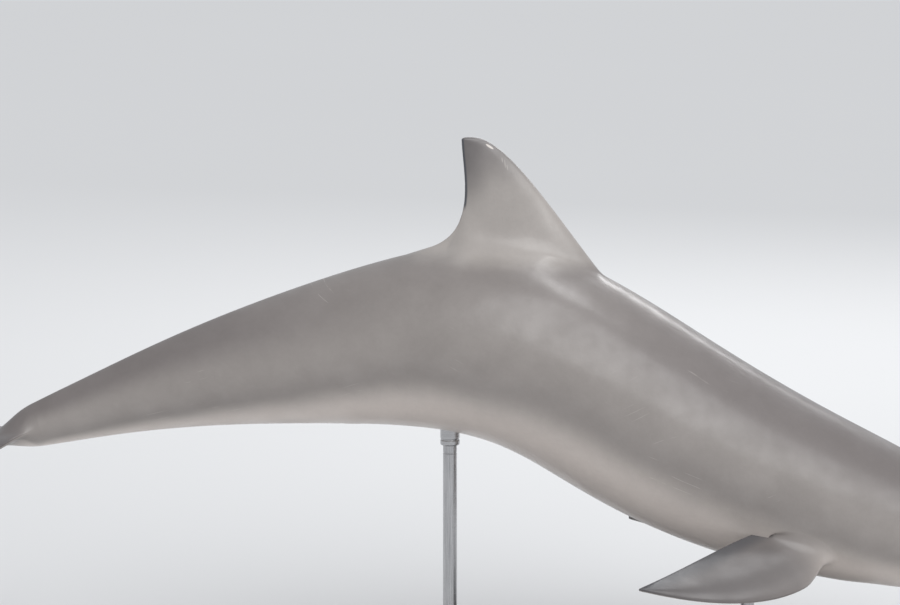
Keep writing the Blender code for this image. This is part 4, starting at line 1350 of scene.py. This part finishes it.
def lay_scars(f):
    """Rake marks in sparse groups, a scuff and short scratches near the fin's tip."""
    marks = rake_marks(f) * f.limb.fall(0.0, 0.1) * f.fin_share.fall(0.1, 0.3)
    around_fin = f.place.bell(0.500, 0.110) * f.level.rise(-0.1, 0.3)
    marks = marks * f.place.rise(0.13, 0.20) * (1 - around_fin)
    f.lay(marks * 0.24, SCAR_PALE)
    along, across = turned_axes(f.x, f.z, SCUFF_PLACE, math.radians(-33))
    oval = (along / 0.0092) ** 2 + (across / 0.0021) ** 2
    scuff = (oval + f.blotches * 1.6).fall(0.5, 1.15)
    for spot, tilt, length in SCRATCHES:
        along, across = turned_axes(f.x, f.z, spot, tilt)
        oval = (along / length) ** 2 + (across / 0.0010) ** 2
        scuff = scuff.or_more((oval + f.blotches * 1.2).fall(0.4, 1.4) * 0.30)
    # The scuff and the scratches are on the right side only.
    scuff = scuff * f.y.fall(-0.001, 0.004) * f.fin_share.rise(0.3, 0.4)
    f.lay(scuff * 0.92, SCAR_PALE)
    return marks, scuff


def turned_axes(x, z, spot, tilt):
    """Distances along and across a short mark in the side view."""
    right, up = x - spot[0], z - spot[1]
    cosine, sine = math.cos(tilt), math.sin(tilt)
    return right * cosine + up * sine, up * cosine - right * sine


def rake_marks(f):
    """Thin parallel scratches in a few patches, at two slants."""
    marks = []
    for slant, scale, seed in ((0.5, 95.0, 3.1), (-0.35, 120.0, 7.7)):
        shifted = f.vector("ADD", {0: f.where, 1: (seed, seed, seed)})
        patch = f.noise(6.0, 1.0, shifted).rise(0.15, 0.22)
        bent = (f.z + f.x * slant + f.noise(4.0, 2.0, shifted) * 0.07) * scale
        stroke = bent.math("PINGPONG", 1.0).fall(0.01, 0.11)
        marks.append(stroke * patch * f.noise(24.0, 2.0, shifted).rise(0.00, 0.14))
    return marks[0].or_more(marks[1])


def eye_finish():
    """A dark brown iris with a crescent pupil under a wet cornea, in a brown-black rim."""
    f = Finish("dolphin_eye")
    side, up = f.named("sideways"), f.named("upwards")
    out = ((side / 1.15) ** 2 + up**2) ** 0.5
    streaks = f.noise(900.0, 2.0)
    rim = (out + streaks * 0.0006).rise(0.0064, 0.0080)
    f.colour = f.mix(rim, paint(52, 35, 25), paint(14, 11, 11))
    f.lay(out.rise(0.0016, 0.0052) * (0.55 + streaks), paint(30, 20, 16))
    lower = (side / 0.0049) ** 2 + ((up + 0.0006) / 0.0028) ** 2
    upper = (side / 0.0031) ** 2 + ((up - 0.0019) / 0.0019) ** 2
    f.lay(lower.fall(0.80, 1.10) * upper.rise(0.80, 1.15), paint(3, 4, 6))
    f.lay(out.rise(0.0100, 0.0125) * 0.5, paint(60, 50, 47))
    return f.surface(
        Base_Color=f.colour,
        Roughness=0.32 + streaks * 0.08,
        Coat_Weight=0.55,
        Coat_Roughness=0.03,
        Specular_IOR_Level=0.0,
        Height=streaks,
        Distance=0.00006,
    )


def board_finish():
    """Satin charcoal paint over wood, whose grain still shows as fine lines."""
    f = Finish("stand_board")
    rings = f.noise(2.4, 3.0, f.stretched(0.55, 6.0, 6.0))
    fibre = f.noise(60.0, 3.0, f.stretched(0.06, 1.0, 1.0))
    pores = f.noise(240.0, 2.0, f.stretched(0.035, 1.0, 1.0)).rise(0.08, 0.24)
    bands = (rings * 34).math("SINE") * 0.5 + 0.5
    dust = f.noise(7.0, 4.0)
    f.colour = f.mix((bands + fibre * 0.9).rise(0.0, 1.0), paint(52, 52, 54), paint(64, 63, 64))
    f.lay(pores * 0.6, paint(34, 34, 36))
    return f.surface(
        Base_Color=f.tinted(f.colour, 1 + dust * 0.30),
        Roughness=0.42 + pores * 0.20 + dust * 0.16,
        Coat_Weight=0.25 - pores * 0.20,
        Coat_Roughness=0.28,
        Height=fibre * 0.35 + bands * 0.12 - pores,
        Distance=0.0003,
    )


def steel_finish(name, round_axis):
    """Brushed steel: fine lines along a rod, or in circles round a flange."""
    f = Finish(name)
    if round_axis:
        x, y = f.axis("X").math("ABSOLUTE") - ROD_AXIS, f.axis("Y")
        radius = (x**2 + y**2) ** 0.5
        way = f.add("ShaderNodeCombineXYZ", None, {0: radius, 1: 0.0, 2: f.axis("Z")})
        lines = f.noise(1500.0, 2.0, way)
    else:
        lines = f.noise(1.0, 2.0, f.stretched(900.0, 900.0, 14.0))
    smears = f.noise(22.0, 3.0)
    colour = f.mix(lines.rise(-0.3, 0.3), paint(168, 168, 170), paint(204, 204, 205))
    return f.surface(
        Base_Color=f.tinted(colour, 1 + smears * 0.12),
        Metallic=1.0,
        Roughness=0.27 + lines * 0.16 + smears * 0.12,
        Height=lines,
        Distance=0.00012,
    )


def floor_finish():
    """Plain matt pale floor."""
    f = Finish("floor")
    colour = f.tinted(FLOOR_PALE[:3], 1 + f.noise(0.7, 3.0) * 0.015)
    return f.surface(Base_Color=colour, Roughness=0.9, Specular_IOR_Level=0.0)


# ---- light, floor and camera

def add_lamp(name, kind, place, aim, **settings):
    light = bpy.data.lights.new(name, kind)
    for setting, value in settings.items():
        setattr(light, setting, value)
    lamp = add_object(name, light)
    lamp.location = place
    lamp.rotation_euler = (Vector(aim) - Vector(place)).to_track_quat("-Z", "Y").to_euler()
    lamp.visible_camera = False


def light_studio():
    for name, place, aim, (length, depth), power in SOFTBOXES:
        size = {"shape": "RECTANGLE", "size": length, "size_y": depth}
        add_lamp(name, "AREA", place, aim, energy=power, **size)
    add_lamp("daylight", "SUN", SUN_FROM, (0, 0, 0), energy=SUN_STRENGTH, angle=SUN_ANGLE)
    world = bpy.data.worlds.new("studio")
    bpy.context.scene.world = world
    sky = Tree(world)
    # Beyond the floor's far end the camera sees the floor's own tone.
    sunlit = SUN_STRENGTH * Vector(SUN_FROM).normalized().z / math.pi
    floor_tone = [tone * (around + sunlit) for tone, around in zip(FLOOR_PALE, AMBIENT)]
    seen = sky.add("ShaderNodeLightPath", out="Is Camera Ray")
    around, beyond = (
        sky.add("ShaderNodeBackground", None, {"Color": tone}) for tone in (AMBIENT, floor_tone)
    )
    either = sky.add("ShaderNodeMixShader", None, {0: seen, 1: around, 2: beyond})
    sky.add("ShaderNodeOutputWorld", None, {"Surface": either}, out=None)


def lay_floor():
    mesh = bpy.data.meshes.new("floor")
    signs = ((-1, -1), (1, -1), (1, 1), (-1, 1))
    corners = [(FLOOR_REACH * x, FLOOR_REACH * y, 0) for x, y in signs]
    mesh.from_pydata(corners, [], [(0, 1, 2, 3)])
    mesh.materials.append(floor_finish())
    floor = add_object("floor", mesh)
    floor.location.z = -FLOOR_GAP


def place_camera():
    lens = bpy.data.cameras.new("camera")
    lens.lens, lens.sensor_width, lens.clip_end = CAMERA_LENS, CAMERA_SENSOR, CAMERA_REACH
    camera = add_object("camera", lens)
    tilt = math.radians(CAMERA_ELEVATION)
    back = Vector((0.0, -math.cos(tilt), math.sin(tilt)))
    camera.location = Vector(CAMERA_AIM) + back * CAMERA_DISTANCE
    camera.rotation_euler = (-back).to_track_quat("-Z", "Y").to_euler()
    bpy.context.scene.camera = camera


# ---- putting it together

FLESH = (
    "beak_upper", "jaw_lower", "melon", "head", "chest", "trunk", "tail_base", "tail_stock",
    "dorsal_fin", "flipper_left", "flipper_right", "fluke_left", "fluke_right",
)


def build_animal():
    mesh, eye_axis = make_skin()
    add_piece("dolphin_skin", mesh, skin_finish(), "dolphin_skin", *FLESH)
    finish = eye_finish()
    for side, sign in (("left", 1), ("right", -1)):
        flip = np.array((1.0, sign, 1.0))
        mesh = make_eyeball(f"eyeball_{side}", EYE_MIDDLE * flip, eye_axis * flip)
        add_piece(f"eyeball_{side}", mesh, finish, "dolphin_eye", f"eye_{side}")


def flange_profile(radius, rod, low, high):
    """(radius, height) corners of the flange under a rod, with a collar round the rod."""
    return [(radius, low), (radius, high), *((rod + out, high + up) for out, up in COLLAR)]


def rod_profile(rod, low, high):
    """(radius, height) corners of a rod, with a fine joint line near its foot and its top."""
    joints = (low + JOINT_HEIGHT, high - JOINT_HEIGHT)
    lines = [(rod + out, joint + up) for joint in joints for out, up in JOINT_LINE]
    return [(rod, low), *lines, (rod, high)]


def cup_profile(rod, top):
    """(radius, height) corners of the cup that holds a rod's end in the belly, run down into it."""
    low, inner, outer = top - CUP_HEIGHT, rod - CUP_OVERLAP, rod + CUP_WALL
    sides = [(outer + out, low + up) for out, up in CUP_OUTSIDE]
    return [(inner, low), *sides, (outer, top), (inner, top)]


def build_stand():
    low, high = corners_of("stand_base")
    board = make_board("board", low, high)
    add_piece("board", board, board_finish(), "stand_board", "stand_base", sharp=BOARD_SHARP)
    rod_steel, flange_steel = steel_finish("rod_steel", False), steel_finish("flange_steel", True)
    centres = []
    for end in ("front", "rear"):
        solids = [f"stand_{part}_{end}" for part in ("flange", "rod")]
        (low, high), (rod_low, rod_high) = (corners_of(solid) for solid in solids)
        middle, radius, rod = (low + high)[:2] / 2, (high - low)[0] / 2, (rod_high - rod_low)[0] / 2
        centres.append(middle)
        flange = rounded(flange_profile(radius, rod, low[2], high[2]), FLANGE_ROUNDING)
        cup = rounded(cup_profile(rod, rod_high[2]), CUP_ROUNDING)
        for name, profile, segments, finish, *replaced in (
            ("flange", flange, 96, flange_steel, solids[0]),
            ("rod", rod_profile(rod, rod_low[2], rod_high[2]), 64, rod_steel, solids[1]),
            ("cup", cup, 64, flange_steel),
        ):
            mesh = turned(name, profile, middle, segments)
            add_piece(f"{name}_{end}", mesh, finish, "stand_steel", *replaced, sharp=STEEL_SHARP)
    screws = make_screws("screws", centres, high[2])
    add_piece("screws", screws, flange_steel, "stand_steel", sharp=STEEL_SHARP)


build_animal()
build_stand()
lay_floor()
light_studio()
place_camera()
bpy.context.scene.view_settings.view_transform = "Standard"
